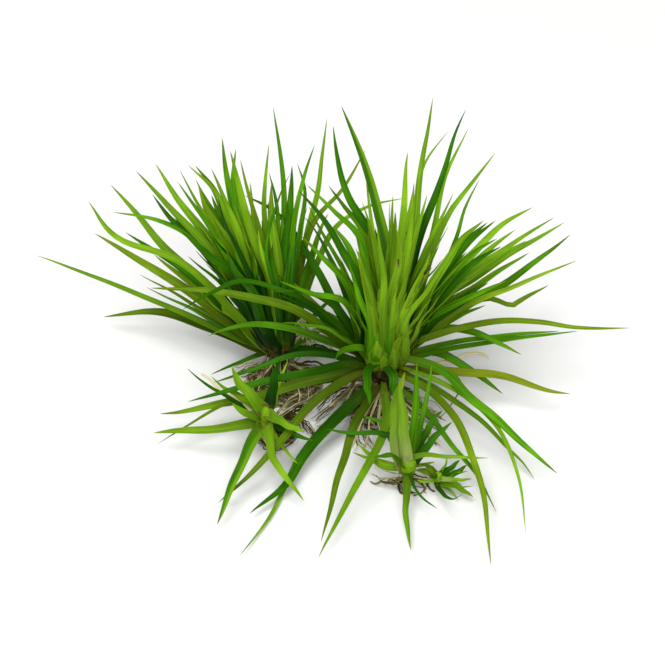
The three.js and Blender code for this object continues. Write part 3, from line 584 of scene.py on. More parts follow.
def course(plant, heights, seen, share, clasp=None):
    """The middle line of a leaf or root at shares of its length, its level direction across, and its length. It
    starts inside the crown's skin, on the side that its first stretch, counted twice, and its whole lean point to.
    With a clasp, its distance there of the skin's, a rising leaf starts lower and runs up the skin, lower at the
    back, and the other leaves of a plantlet start near its top, where they meet as a star."""
    place, low, high, radius = CROWNS[plant]
    middle = crown_middle(plant)
    stops = np.array([place, *seen], float)
    run = run_along(stops)
    places = from_picture(stops[1:], height_along(heights, run[1:] / run[-1]))
    leans = places[:, :2] - middle[:2]
    heading = unit(2 * unit(leans[0]) + unit(leans.sum(axis=0)))
    own_level = (heights[0] - low) / (high - low)
    reach = max(NEAREST, radius * FEET[plant][0] * skin_share(own_level) - SINK)
    start = np.array([[*(middle[:2] + heading * reach), heights[0]]])
    if clasp and (rises(heights) or not large(plant)):
        out, foot_level, drop, climb = FEET[plant][2:]
        level = foot_level if rises(heights) else own_level
        level = level - drop * heading[1] + np.array([0, climb])
        skin = radius * clasp * skin_share(level)[:, None] * np.array([[out], [1]]) * heading
        start = np.concatenate([middle[:2] + skin, (low + level * (high - low))[:, None]], axis=1)
        start = start[:1] if climb == 0 else start
    line, length = at_shares(centripetal(np.vstack([start, places])), share)
    return line, np.array([-heading[1], heading[0], 0.0]), length


def facing(line, across):
    """The direction across, turned so that the leaf shows more of its flat side to the front view: it is added to the
    direction that is square to both the leaf and the view, weighted."""
    broadside = unit(np.cross(line[-1] - line[0], FORWARD))
    return unit(across + FACING * broadside * (1 if broadside @ across >= 0 else -1))


# ---------------------------------------------------------------- surfaces

# Each surface is its points, its faces of four and of three, its flat map (side and way along, from 0 to 1) and its
# own place (in mm across and along, with the number that makes its pattern its own).

def ring_faces(rings, sides):
    """Faces of a closed tube of rings with a point at each end: the start point is first, the tip comes last."""
    ring = 1 + np.arange(rings)[:, None] * sides + np.arange(sides)
    turned = np.roll(ring, -1, axis=1)
    quads = np.stack([ring[:-1], ring[1:], turned[1:], turned[:-1]], axis=-1).reshape(-1, 4)
    start, tip = np.zeros(sides, int), np.full(sides, 1 + rings * sides)
    fans = np.vstack([np.stack([start, ring[0], turned[0]], axis=1), np.stack([tip, turned[-1], ring[-1]], axis=1)])
    return quads, fans


# The outline of a blade: powers of its tip, its clasping flare and its foot, and the shares of its length at which the
# flare ends and the foot has its whole breadth
TIP_POWER, FLARE_POWER, FOOT_POWER = 0.8, 1.3, 0.7
FLARE_END, FOOT_END = 0.45, 0.15
ROSETTE_FOOT = 0.4                      # breadth of a rosette leaf's foot, of the breadth that it grows to
LYING_FLARE, STAR_FLARE = 0.15, 0.6     # flare of lying leaves on a rosette and on a plantlet
# Its section: height of the keel, of half the thickness, and its half width, of the blade's; power and zero of the lift
KEEL_HEIGHT, KEEL_WIDTH = 0.7, 0.3
LIFT_POWER, LIFT_ZERO = 1.6, 0.35
# Its waves: how many along a leaf, and how far they reach to the side and out of its face, of the leaf's width
WAVES, SIDE_SWING, FACE_SWING = (1.2, 3.2), 0.07, 0.09


def leaf_style(settings, small=False):
    """What the panel says of a leaf, in mm, with the shares of its length at which its rings lie: even ones with 0.3 of
    a cosine, which draws them together at both ends. A small leaf has three quarters of the rings."""
    steps = settings.steps if not small else max(8, int(settings.steps * 0.75))
    even = np.linspace(0, 1, steps + 1)
    share = 0.7 * even + 0.3 * (0.5 - 0.5 * np.cos(math.pi * even))
    return {"share": share, "sides": settings.sides, "thickness": settings.thickness / MM,
            "channel": settings.channel, "twist": settings.twist, "broad": settings.broad,
            "slender": settings.slender, "taper": (0.3, 2.2), "foot": 1.0}


def blade(line, across, length, wide, style, rng, flare):
    """A leaf: at each share t of its length a thin lens-shaped ring, x = a cos p across and y = b sin p through it.
    With s running from 0 where the taper begins to 1 at the tip, half width a falls as (1 - s to the power of the
    fall) to the power 0.8, with the flare added at the clasping base and the foot drawn in. Half thickness b falls as
    1 - t to the power 0.45, and is less in a narrow leaf. The edges are lifted by the channel depth times 0.6 + 0.9
    times (1 - t) squared times |cos p| to the power 1.6, a keel runs under the middle, and the ring turns by a random
    twist times t. Sine waves move the middle line to the side and out of the face."""
    share = style["share"]
    begin, fall = style["taper"]
    out = np.clip((share - begin) / (1 - begin), 0, 1)
    taper = (1 - out ** fall) ** TIP_POWER + flare * np.clip(1 - share / FLARE_END, 0, 1) ** FLARE_POWER
    taper = taper * (style["foot"] + (1 - style["foot"]) * np.clip(share / FOOT_END, 0, 1) ** FOOT_POWER)
    half = (wide / 2 * taper)[:, None]
    thin = (style["thickness"] / 2 * (1 - share) ** 0.45 * min(1, 0.55 + 0.25 * wide))[:, None]
    swing = np.sin(math.pi * share) * wide
    waves = rng.uniform(*WAVES, 2)
    phases = rng.uniform(0, TURN, 2)
    tangent = unit(np.gradient(line, axis=0))
    side = unit(across - tangent * (tangent @ across)[:, None])
    face = np.cross(side, tangent)
    for way, size, wave, phase in zip((side, face), (SIDE_SWING, FACE_SWING), waves, phases):
        line = line + way * (size * swing * np.sin(wave * TURN * share + phase))[:, None]
    turn = (rng.normal(0, style["twist"]) * share)[:, None]
    side, face = side * np.cos(turn) + face * np.sin(turn), face * np.cos(turn) - side * np.sin(turn)
    angle = np.linspace(0, TURN, style["sides"], endpoint=False)[None, :]
    x = np.cos(angle)
    lift = style["channel"] * (0.6 + 0.9 * (1 - share) ** 2)[:, None] * rng.uniform(0.75, 1.25)
    keel = KEEL_HEIGHT * np.exp(-(x / KEEL_WIDTH) ** 2) * (np.sin(angle) > 0)
    y = thin * (np.sin(angle) + keel) - half * lift * (np.abs(x) ** LIFT_POWER - LIFT_ZERO)
    points = line[:, None] + side[:, None] * (half * x)[..., None] + face[:, None] * y[..., None]
    way = 1.0 if side[:, 0].sum() > 0 else -1.0
    flat = np.stack([np.broadcast_to(0.5 + 0.5 * way * x, y.shape), np.broadcast_to(share[:, None], y.shape)], -1)
    number = rng.uniform(0, SHIFT)
    own = np.stack([half * x, np.broadcast_to((share * length)[:, None], y.shape), np.full(y.shape, number)], -1)
    points = np.vstack([line[0], points[:-1].reshape(-1, 3), line[-1]])
    flat = np.vstack([[0.5, 0], flat[:-1].reshape(-1, 2), [0.5, 1]])
    own = np.vstack([[0, 0, number], own[:-1].reshape(-1, 3), [0, length, number]])
    return points, *ring_faces(len(share) - 1, style["sides"]), flat, own


def leaf_surface(plant, row, style, rng, flare):
    """The blade of a leaf's row of the tables, on its own course and turned to the view."""
    wide, heights, seen = row[1:]
    line, across, length = course(plant, heights, seen, style["share"], clasp=rng.uniform(0.8, 1.05))
    style = dict(style, foot=ROSETTE_FOOT if large(plant) else 1.0)
    if not rises(heights):
        flare = LYING_FLARE if large(plant) else STAR_FLARE
    wide = wide * style["broad" if rises(heights) else "slender"]
    return blade(line, facing(line, across), length, wide, style, rng, flare)


# The course of a sheath from its foot to its tip: height of its own, distance from the axis of the stem's radius, and
# what its lean adds to that
SHEATH = np.array([(0, 0.55, 0), (0.16, 0.9, 0), (0.36, 1.1, 0.15), (0.66, 1.2, 0.9), (1, 1.3, 2.2)])
GOLDEN = math.radians(137.5)


def sheaths(plant, count, breadth, style, rng):
    """Inner leaves that clasp the stem, set round it by the golden angle: each is a blade on the course of SHEATH, laid
    along the mean direction of the rosette's rising leaves. From the oldest, y = 0, to the youngest, y = 1, they start
    0.12 y of the stem's height higher, grow from 1.3 to 2.4 of it tall, and stand nearer to its axis by 0.75 y squared.
    One that is 18 mm tall leans out by 0.3 to 1.1 of what SHEATH gives."""
    low, high, radius = CROWNS[plant][1:]
    middle = crown_middle(plant)
    foot, drop = FEET[plant][3:5]
    tips = np.array([from_picture(row[3][-1], row[2][2]) for row in rising_rows(plant)])
    axis = unit(tips - middle).mean(axis=0)
    slope = np.array([*(axis[:2] / axis[2]), 0])
    style = dict(style, twist=0.08, taper=(0.1, 1.4), foot=ROSETTE_FOOT)
    made = []
    for k in range(count):
        young = k / count
        bearing = k * GOLDEN + rng.normal(0, 0.12)
        out = np.array([math.cos(bearing), math.sin(bearing), 0])
        level = max(0.1, foot - drop * out[1] + 0.12 * young)
        tall = (high - low) * (1.3 + 1.1 * young) * rng.uniform(0.8, 1.2)
        lean = rng.uniform(0.3, 1.1) * tall / 18
        skin = radius * (SHEATH[:, 1:2] + SHEATH[:, 2:] * lean) * (1 - 0.75 * young ** 2)
        skin[0] *= skin_share(level)
        climb = tall * SHEATH[:, :1]
        base = middle * [1, 1, 0] + [0, 0, low + (high - low) * level]
        line, length = at_shares(centripetal(base + out * skin + (slope + [0, 0, 1]) * climb), style["share"])
        across = np.array([-out[1], out[0], 0])
        made.append(blade(line, across, length, radius * breadth * rng.uniform(0.85, 1.15), style, rng, 0.5))
    return made


def between(plant, count, style, rng, flare):
    """More rising leaves of a rosette: the course of each is a mean, weighted 0.3 to 0.7, of the courses of a leaf and
    of one of the four nearest to it in direction, cut to 0.45 to 0.85 of its length, so that it runs and ends among
    them. It is at least 1.5 mm wide, and a tone darker, as painted shade, if it is cut under 0.6. Gives pairs of tone
    and surface."""
    rows = rising_rows(plant)
    runs = [course(plant, row[2], row[3], style["share"], clasp=rng.uniform(0.75, 1.1)) for row in rows]
    lines = np.array([run[0] for run in runs])
    ways = unit(lines[:, len(style["share"]) // 2] - lines[:, 0])
    near = ways @ ways.T
    made = []
    for _ in range(count):
        first = rng.integers(len(rows))
        second = rng.choice(np.argsort(-near[first])[1:5])
        weight, cut = rng.uniform(0.3, 0.7), rng.uniform(0.45, 0.85)
        mean = lines[first] * (1 - weight) + lines[second] * weight
        line, length = at_shares(mean, style["share"] * cut)
        across = unit(runs[first][1] * (1 - weight) + runs[second][1] * weight)
        wide = rng.uniform(1.0, 1.3) * max(1.5, (rows[first][1] + rows[second][1]) / 2)
        tone = rows[first][0] if cut > 0.6 else DARKER_IN_SHADE.get(rows[first][0], "dark")
        made.append((tone, blade(line, across, length * cut, wide, dict(style, foot=ROSETTE_FOOT), rng, flare)))
    return made


def stem(plant, rings=16, sides=30):
    """The short stem: an upright ellipsoid, x and y = r sin f times cos t or sin t and z = -h cos f, whose radius
    carries the scars of old leaves as five rings, 0.05 sin 9 f, and seven lobes, 0.04 sin (7 t + 4 f). A rosette's is
    0.78 of the CAD crown's height."""
    low, high, radius = CROWNS[plant][1:]
    tall = (high - low) / 2 * (0.78 if large(plant) else 1)
    middle = crown_middle(plant) * [1, 1, 0] + [0, 0, low + tall]
    fall = np.linspace(0, math.pi, rings + 2)[1:-1, None]
    turn = np.linspace(0, TURN, sides, endpoint=False)[None, :]
    scar = FEET[plant][0] * (1 + 0.05 * np.sin(9 * fall) + 0.04 * np.sin(7 * turn + 4 * fall))
    level = radius * np.sin(fall) * scar
    points = np.stack([level * np.cos(turn), level * np.sin(turn), -tall * np.cos(fall) * np.ones_like(turn)], axis=-1)
    points = np.vstack([middle - [0, 0, tall], points.reshape(-1, 3) + middle, middle + [0, 0, tall]])
    quads, fans = ring_faces(rings, sides)
    flat = np.stack([np.full(len(points), 0.5), np.linspace(0, 1, len(points))], axis=1)
    return points, quads[:, ::-1], fans[:, ::-1], flat, points - middle


def strands(paths, radii, age, sides=6):
    """Round roots along many paths at once: rings of radius r about each path, in a frame that is carried along
    it by taking the tangent's part out of the last normal, and drawn in to a point at both ends."""
    count, knots = paths.shape[:2]
    tangent = unit(np.gradient(paths, axis=1))
    normals = [unit(np.cross(tangent[:, 0], ODD_WAY))]
    for k in range(1, knots):
        along = (normals[-1] * tangent[:, k]).sum(axis=1, keepdims=True)
        normals.append(unit(normals[-1] - tangent[:, k] * along))
    normal = np.stack(normals, axis=1)
    other = np.cross(normal, tangent)
    angle = np.linspace(0, TURN, sides, endpoint=False)
    ring = normal[:, :, None] * np.cos(angle)[:, None] + other[:, :, None] * np.sin(angle)[:, None]
    ring = paths[:, :, None] + ring * radii[:, :, None, None]
    points = np.concatenate([paths[:, :1], ring[:, 1:-1].reshape(count, -1, 3), paths[:, -1:]], axis=1)
    run, share = run_along(paths), np.linspace(0, 1, knots)
    flat = np.zeros((count, points.shape[1], 2))
    flat[:, 1:-1, 0] = np.tile(0.5 + 0.5 * np.cos(angle), knots - 2)
    flat[:, 1:-1, 1] = np.repeat(share[1:-1], sides)
    flat[:, -1, 1] = 1
    own = np.zeros((count, points.shape[1], 3))
    own[..., 0] = age[:, None]
    own[:, 1:-1, 1] = np.repeat(run[:, 1:-1], sides, axis=1)
    own[:, -1, 1] = run[:, -1]
    own[..., 2] = np.random.default_rng(count).uniform(0, SHIFT, count)[:, None]
    shift = (np.arange(count) * points.shape[1])[:, None, None]
    quads, fans = ring_faces(knots - 2, sides)
    return (points.reshape(-1, 3), (quads + shift).reshape(-1, 4), (fans + shift).reshape(-1, 3),
            flat.reshape(-1, 2), own.reshape(-1, 3))


def crinkled(paths, size, rng):
    """Paths with sine waves of 2, 5 and 9 turns and random phase laid over them, each as high as twice the size over
    its turns, nothing at the start and full size at the end."""
    share = np.linspace(0, 1, paths.shape[1])[None, :, None]
    for waves in (2, 5, 9):
        phase = rng.uniform(0, TURN, (len(paths), 1, 3))
        paths = paths + size / waves * 2 * np.sin(waves * TURN * share + phase) * np.sqrt(share)
    return paths


MAT_STOPS, MAT_RINGS, TRAIL_RINGS = 6, 26, 24    # stops of a root in its mat, rings along it and along other roots
LARGEST_MAT = 60                                 # reach across times reach in depth of a full mat, in square mm
STOUT_ROOT, TRAILING_ROOT = 2.1, 2.6             # radius of stout and of trailing roots, of a fine root's
LOOSE_ROOTS = 7                                  # fine roots that a full mat sends along each trailing root, and one


def mat_paths(plant, count, rng):
    """Roots that leave the crown and wander through the mat. Each starts under the stem, within 0.75 of its radius, or
    on its skin, up to 0.45 of its height. Its bearing is then a random walk, its reach grows from stop to stop, and its
    height is a share, which falls outwards to 0.35, of the height there of the CAD mat, a mound."""
    low, high, radius = CROWNS[plant][1:]
    seen, wide, deep, tall = MATS[plant][:4]
    middle, foot = crown_middle(plant), from_picture(seen, 0.0)
    bearing = rng.uniform(0, TURN, count)
    radius = radius * FEET[plant][0]
    under = radius * 0.75 * np.sqrt(rng.uniform(0, 1, count))
    level = rng.uniform(-0.3, 0.45, count)      # on the skin above 0, and else 0.9 mm inside the underside
    spread = np.where(level > 0, radius * 0.9 * skin_share(level), under)
    start = np.stack([middle[0] + spread * np.cos(bearing), middle[1] + spread * np.sin(bearing),
                      low + np.where(level > 0, level * (high - low), 0.9)], axis=1)
    knots = (count, MAT_STOPS)
    walk = bearing[:, None] + np.cumsum(rng.normal(0, 0.85, knots), axis=1)
    reach = np.clip(np.sort(rng.uniform(0.12, 1.0, knots), axis=1) + rng.normal(0, 0.12, knots), 0.05, 0.97)
    share = np.clip(rng.uniform(0.25, 1.0, knots) * np.linspace(1, 0.35, MAT_STOPS), 0.04, 0.97)
    mound = tall * np.interp(reach, [0, 0.5, 0.82, 1], [1, 0.86, 0.55, 0.1])
    stops = np.stack([foot[0] + wide * reach * np.cos(walk), foot[1] + deep * reach * np.sin(walk), mound * share], -1)
    return crinkled(through(np.concatenate([start[:, None], stops], axis=1), MAT_RINGS), 0.28, rng)


def trailing_paths(plant, heights, seen, count, loose, rng):
    """A bundle of roots along one seen course, drawn apart at random towards the end by the looseness in mm, and
    crinkled by 0.22 of it and 0.05 mm."""
    line = course(plant, heights, seen, np.linspace(0, 1, TRAIL_RINGS))[0]
    apart = rng.normal(0, loose, (count, 1, 3)) * np.linspace(0.15, 1, TRAIL_RINGS)[None, :, None] ** 0.8
    return crinkled(line[None] + apart, 0.22 * loose + 0.05, rng)


def on_floor(paths, radii):
    """Lifts paths so that whole roots lie on the floor or above it: z is at least the radius and a small gap."""
    paths[..., 2] = np.maximum(paths[..., 2], radii + FLOOR_GAP)
    return paths


# ---------------------------------------------------------------- materials

MADE = {}
SMOOTH = {"interpolation_type": "SMOOTHSTEP"}


def add(tree, kind, inputs=None, **settings):
    """Adds a node with its settings and its inputs, each of them a value or the socket that feeds it."""
    node = tree.nodes.new(kind)
    for name, value in settings.items():
        setattr(node, name, value)
    for name, value in (inputs or {}).items():
        if isinstance(value, bpy.types.NodeSocket):
            tree.links.new(value, node.inputs[name])
        else:
            node.inputs[name].default_value = value
    return node


def blank(name):
    """A material of that name with an empty tree, made afresh."""
    material = bpy.data.materials.new(name)
    material.use_nodes = True
    material.node_tree.nodes.clear()
    return material, material.node_tree


def kept(name, make, *values):
    """The material made before under that key, or a new one."""
    if name not in MADE:
        MADE[name] = make(*values)
    return MADE[name]


def over(tree, colour, value, low, high, start, end, other):
    """Another colour laid over one: its share goes smoothly from start to end while the value goes from low to high."""
    share = add(tree, "ShaderNodeMapRange", {0: value, 1: low, 2: high, 3: start, 4: end}, **SMOOTH).outputs[0]
    return add(tree, "ShaderNodeMix", {0: share, 6: colour, 7: other}, data_type="RGBA").outputs[2]


def speckle(tree, vector, scale, detail=2.0, place=(0, 0, 0)):
    """Noise over a vector that is first scaled by cells a millimetre along each direction and moved to a place."""
    placed = add(tree, "ShaderNodeMapping", {"Vector": vector, "Scale": scale, "Location": place})
    return add(tree, "ShaderNodeTexNoise", {"Vector": placed.outputs[0], "Scale": 1.0, "Detail": detail}).outputs[0]


def shade(colour, light, warm=0.0):
    """A leaf colour made lighter or darker, and warmer by a share of its green put into its red."""
    red, green, blue = list(colour)[:3]
    return (min(1, red * light + green * warm), min(1, green * light), min(1, blue * light), 1.0)


def leaf_tissue(tone, settings):
    """Living leaf of a submerged pipewort: soft, wet and thin, so it lets light through, with air channels between
    even veins that show as lighter and darker streaks along it, a pale clasping base and a darker tip. Bright lines
    of painted sheen run along it, and its lower half is darkened by painted shade."""
    through_light, contrast, brown, pale_base, shaded = TONES[tone][3]
    body = getattr(settings, tone)
    material, tree = blank(f"{TONES[tone][0]} tissue")
    own = add(tree, "ShaderNodeAttribute", attribute_name="leaf_mm").outputs["Vector"]
    flat = add(tree, "ShaderNodeUVMap", uv_map="leaf").outputs[0]
    side, along = add(tree, "ShaderNodeSeparateXYZ", {0: flat}).outputs[:2]
    streak = speckle(tree, own, (2.7, 0.17, 1.0), 3.0)             # 0.4 mm wide, 6 mm long
    patch = speckle(tree, own, (0.4, 0.13, 1.0), 2.0, (9, 4, 2))   # half a leaf wide, 8 mm long
    # fine lines along the leaf: darker vein lines, and bright lines of painted sheen
    line = speckle(tree, own, (6.0, 0.06, 1.0), 1.0, (2, 6, 1))    # 0.2 mm wide, most of a leaf long
    leafwise = speckle(tree, own, (0.0, 0.0, 3.1), 0.0)            # one value to a leaf
    dirt = speckle(tree, own, (1.1, 0.8, 1.0), 3.0, (5, 1, 8))     # patches of 1 mm
    away = add(tree, "ShaderNodeMath", {0: side, 1: 0.5}, operation="SUBTRACT").outputs[0]
    away = add(tree, "ShaderNodeMath", {0: away}, operation="ABSOLUTE").outputs[0]
    near_foot = add(tree, "ShaderNodeMapRange", {0: along, 1: 0.04, 2: 0.2, 3: 0.75, 4: 0}, **SMOOTH).outputs[0]
    reach, bleached = (0.6, "#a4b166") if pale_base > 0.5 else (0.3, "#578012")
    colour = shade(body, 1 / contrast ** 0.5)
    for layer in (
        (streak, 0.36, 0.64, 0, 1, body),
        (patch, 0.46, 0.7, 0, 0.75, shade(body, contrast, 0.05)),
        (line, 0.3, 0.44, 0.42, 0, shade(body, 0.5)),
        # painted sheen: narrow bright, warmer lines along the leaf
        (line, 0.58, 0.7, 0, 0.55, shade(body, contrast * 1.15, 0.08)),
        # a half-shaded leaf: the half past its channel is painted light in the fresh tone, the rest stays as painted
        # shade
        *([(side, 0.54, 0.62, 0, 1, settings.fresh)] if tone == "twotone" else []),
        (away, 0.03, 0.13, 0.45, 0, shade(body, contrast * 0.95, 0.05)),             # the middle vein
        # painted shade: the lower half darkened where the leaves crowd and shade each other
        (along, 0.15, 0.7, shaded, 0, shade(body, 0.55 - 0.2 * shaded)),             # the shaded lower half
        (along, 0.02, reach, pale_base, 0, linear(bleached)),                        # the pale base
        (along, 0.0, 0.08, 0.5 if pale_base else 0.1, 0, linear("#5f5a1a")),         # the worn foot
        (dirt, 0.46, 0.64, 0, near_foot, linear("#5c4a1c")),
        (along, 0.86, 1.0, 0, 0.45, shade(body, 0.8, 0.35)),                         # the tip
    ):
        colour = over(tree, colour, *layer)
    bright = add(tree, "ShaderNodeMapRange", {0: leafwise, 1: 0.3, 2: 0.7, 3: 0.9, 4: 1.22}, **SMOOTH).outputs[0]
    colour = add(tree, "ShaderNodeHueSaturation", {"Value": bright, "Color": colour}).outputs[0]
    spots = add(tree, "ShaderNodeTexVoronoi", {"Vector": own, "Scale": 0.16})      # a fleck every 6 mm or more
    chosen = add(tree, "ShaderNodeSeparateColor", {0: spots.outputs["Color"]}).outputs[0]
    chosen = add(tree, "ShaderNodeMapRange", {0: chosen, 1: 0.86 - 0.3 * brown, 2: 0.9 - 0.3 * brown, 4: 0.8}, **SMOOTH)
    colour = over(tree, colour, spots.outputs["Distance"], 0.05, 0.1, chosen.outputs[0], 0, linear("#3c2c12"))
    if brown > 0:
        dying = speckle(tree, own, (0.9, 0.11, 1.0), 4.0, (3, 7, 5))               # 1 mm wide, 9 mm long
        least, most = 0.62 - 0.2 * brown, 0.8 - 0.2 * brown
        colour = over(tree, colour, dying, least, most, 0, 0.35 + 0.5 * brown, linear("#6b5626"))
    veins = add(tree, "ShaderNodeTexWave", {"Vector": own, "Scale": 1.0}, bands_direction="X").outputs[1]  # 0.31 mm
    septa = add(tree, "ShaderNodeTexWave", {"Vector": own, "Scale": 0.3, "Distortion": 1.5}, bands_direction="Y")
    relief = add(tree, "ShaderNodeMath", {0: septa.outputs[1], 1: 0.3, 2: veins}, operation="MULTIPLY_ADD").outputs[0]
    bump = add(tree, "ShaderNodeBump", {"Height": relief, "Strength": 0.45, "Distance": 0.03 * MM}).outputs[0]
    rough = add(tree, "ShaderNodeMapRange", {0: patch, 1: 0.3, 2: 0.7, 3: 0.34, 4: 0.5}, **SMOOTH).outputs[0]
    surface = add(tree, "ShaderNodeBsdfPrincipled", {
        "Base Color": colour, "Roughness": rough, "IOR": 1.4, "Specular IOR Level": 0.05, "Normal": bump})
    lit = add(tree, "ShaderNodeHueSaturation", {"Hue": 0.495, "Saturation": 1.1, "Value": 1.5, "Color": colour})
    glow = add(tree, "ShaderNodeBsdfTranslucent", {"Color": lit.outputs[0], "Normal": bump})
    both = add(tree, "ShaderNodeMixShader", {0: through_light, 1: surface.outputs[0], 2: glow.outputs[0]})
    add(tree, "ShaderNodeOutputMaterial", {"Surface": both.outputs[0]})
    return material


def stem_flesh():
    """Stem of a pipewort: moist fibres stained olive and brown, near black as painted shade under its leaves."""
    material, tree = blank("Pipewort stem flesh")
    place = add(tree, "ShaderNodeTexCoord").outputs["Object"]
    grain = speckle(tree, place, (1400, 1400, 500), 4.0)      # fibres 0.7 mm across and 2 mm long
    stain = speckle(tree, place, (350, 350, 260), 3.0)        # stains of 3 to 4 mm
    # dark brown flesh with olive fibres and near-black stains: partly stain, and darkened as painted shade under the
    # leaf bases
    colour = over(tree, linear("#241d08"), grain, 0.4, 0.7, 0, 1, linear("#4e4a1c"))
    colour = over(tree, colour, stain, 0.45, 0.62, 0, 1, linear("#1c140a"))
    bump = add(tree, "ShaderNodeBump", {"Height": grain, "Strength": 0.6, "Distance": 0.2 * MM}).outputs[0]
    surface = add(tree, "ShaderNodeBsdfPrincipled", {
        "Base Color": colour, "Roughness": 0.55, "Specular IOR Level": 0.1, "Normal": bump})
    add(tree, "ShaderNodeOutputMaterial", {"Surface": surface.outputs[0]})
    return material


def root_fibre(settings):
    """Pipewort roots: spongy, pale fibres with cross walls, cream when they live and stained brown when old."""
    material, tree = blank("Pipewort root fibre")
    own = add(tree, "ShaderNodeAttribute", attribute_name="leaf_mm").outputs["Vector"]
    age = add(tree, "ShaderNodeSeparateXYZ", {0: own}).outputs[0]
    place = add(tree, "ShaderNodeTexCoord").outputs["Object"]
    stain = speckle(tree, own, (0.0, 0.28, 1.0), 3.0)         # stains about 4 mm long
    dirt = speckle(tree, place, (420, 420, 420), 3.0)         # dirt in patches of 2 to 3 mm
    aged = add(tree, "ShaderNodeMath", {0: age, 1: 0.9, 2: stain}, operation="MULTIPLY_ADD").outputs[0]
    dirt = add(tree, "ShaderNodeMath", {0: age, 1: 0.24, 2: dirt}, operation="MULTIPLY_ADD").outputs[0]
    colour = over(tree, settings.young, aged, 0.5, 1.2, 0, 1, settings.old)
    colour = over(tree, colour, dirt, 0.62, 0.82, 0, 0.75, linear("#2c2408"))
    walls = add(tree, "ShaderNodeTexWave", {"Vector": own, "Scale": 0.8}, bands_direction="Y").outputs[1]  # 0.4 mm
    bump = add(tree, "ShaderNodeBump", {"Height": walls, "Strength": 0.4, "Distance": 0.04 * MM}).outputs[0]
    surface = add(tree, "ShaderNodeBsdfPrincipled", {
        "Base Color": colour, "Roughness": 0.6, "IOR": 1.4, "Specular IOR Level": 0.15, "Normal": bump})
    glow = add(tree, "ShaderNodeBsdfTranslucent", {"Color": colour})
    both = add(tree, "ShaderNodeMixShader", {0: 0.2, 1: surface.outputs[0], 2: glow.outputs[0]})
    add(tree, "ShaderNodeOutputMaterial", {"Surface": both.outputs[0]})
    return material


def studio_paper(settings):
    """Matt white studio paper, seen as an even pale floor."""
    material, tree = blank("Studio paper")
    surface = add(tree, "ShaderNodeBsdfPrincipled", {"Base Color": tuple(settings.floor), "Roughness": 0.8})
    add(tree, "ShaderNodeOutputMaterial", {"Surface": surface.outputs[0]})
    return material


# ---------------------------------------------------------------- pieces

CROWN_SEED, ROOT_SEED = 77, 31      # each plant draws its small leaves and its roots from sources of their own


def piece(name, surfaces, materials, node):
    """One mesh of closed surfaces, each with the number of its material, that stands for the CAD node named."""
    shift, points, faces, flats, owns, numbers = 0, [], [], [], [], []
    for (own_points, quads, fans, flat, own), number in surfaces:
        faces += (quads + shift).tolist() + (fans + shift).tolist()
        numbers += [number] * (len(quads) + len(fans))
        points.append(own_points)
        flats.append(flat)
        owns.append(own)
        shift += len(own_points)
    mesh = bpy.data.meshes.new(name)
    mesh.from_pydata((np.vstack(points) * MM).tolist(), [], faces)
    corner = np.empty(len(mesh.loops), dtype=np.int64)
    mesh.loops.foreach_get("vertex_index", corner)
    layer = mesh.uv_layers.new(name="leaf")
    layer.uv.foreach_set("vector", np.vstack(flats)[corner].astype(np.float32).ravel())
    placed = mesh.attributes.new("leaf_mm", "FLOAT_VECTOR", "POINT")
    placed.data.foreach_set("vector", np.vstack(owns).astype(np.float32).ravel())
    mesh.polygons.foreach_set("use_smooth", np.ones(len(mesh.polygons), dtype=bool))
    for material in materials:
        mesh.materials.append(material)
    mesh.polygons.foreach_set("material_index", np.array(numbers, dtype=np.int32))
    mesh.update()
    made = bpy.data.objects.new(name, mesh)
    bpy.context.collection.objects.link(made)
    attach(made, "root")
    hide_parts(node)


class CLUMP_OT_leaves(bpy.types.Operator):
    """Grow every leaf that is a CAD node of its own, as one fine blade each"""
    bl_idname = "clump.leaves"
    bl_label = "Leaves"

    def execute(self, context):
        """For each plant and row a random source of its own, so that a change to one leaf leaves the others alone."""
        settings = context.scene.clump_leaves
        style = leaf_style(settings)
        for number, plant in enumerate(CROWNS):
            for part, rows in LEAVES[plant].items():
                for k, row in enumerate(rows):
                    rng = np.random.default_rng([number, len(part), ord(part[0]), k])
                    surface = leaf_surface(plant, row, style, rng, settings.flare)
                    tissue = kept(row[0], leaf_tissue, row[0], settings)
                    node = f"{plant}_{part}_leaf_{k + 1}"
                    piece(f"{node}_blade", [(surface, 0)], [tissue], node)
        return {"FINISHED"}


class CLUMP_OT_crowns(bpy.types.Operator):
    """Grow the short stems with their old leaf bases and the small leaves between the large ones"""
    bl_idname = "clump.crowns"
    bl_label = "Crowns"

    def execute(self, context):
        """One piece a plant: its stem, old bases, leaves between the others, small leaves and scraps of dead root."""
        settings = context.scene.clump_leaves
        style = leaf_style(settings, small=True)
        stem_number, root_number = 0, 1 + len(TONES)
        of_tone = {tone: 1 + k for k, tone in enumerate(TONES)}
        for number, plant in enumerate(CROWNS):
            rng = np.random.default_rng([number, CROWN_SEED])
            surfaces = [(stem(plant), stem_number if large(plant) else of_tone["fresh"])]
            bases, breadth, tones = BASES.get(plant, (0, 0, ()))
            for k, surface in enumerate(sheaths(plant, bases, breadth, style, rng)):
                surfaces.append((surface, of_tone[tones[len(tones) * k // bases]]))
            for tone, surface in between(plant, INNER.get(plant, 0), style, rng, settings.flare):
                surfaces.append((surface, of_tone[tone]))
            for row in SMALL_LEAVES[plant]:
                surfaces.append((leaf_surface(plant, row, style, rng, settings.flare), of_tone[row[0]]))
            for radius, age, heights, seen in SCRAPS.get(plant, []):
                path = through(from_picture(seen, heights)[None], 12)
                surfaces.append((strands(path, np.full(path.shape[:2], radius), np.array([age])), root_number))
            materials = [kept("stem", stem_flesh)] + [kept(tone, leaf_tissue, tone, settings) for tone in TONES]
            materials.append(kept("root", root_fibre, context.scene.clump_roots))
            piece(f"{plant}_crown_leaves", surfaces, materials, f"{plant}_crown")
        return {"FINISHED"}


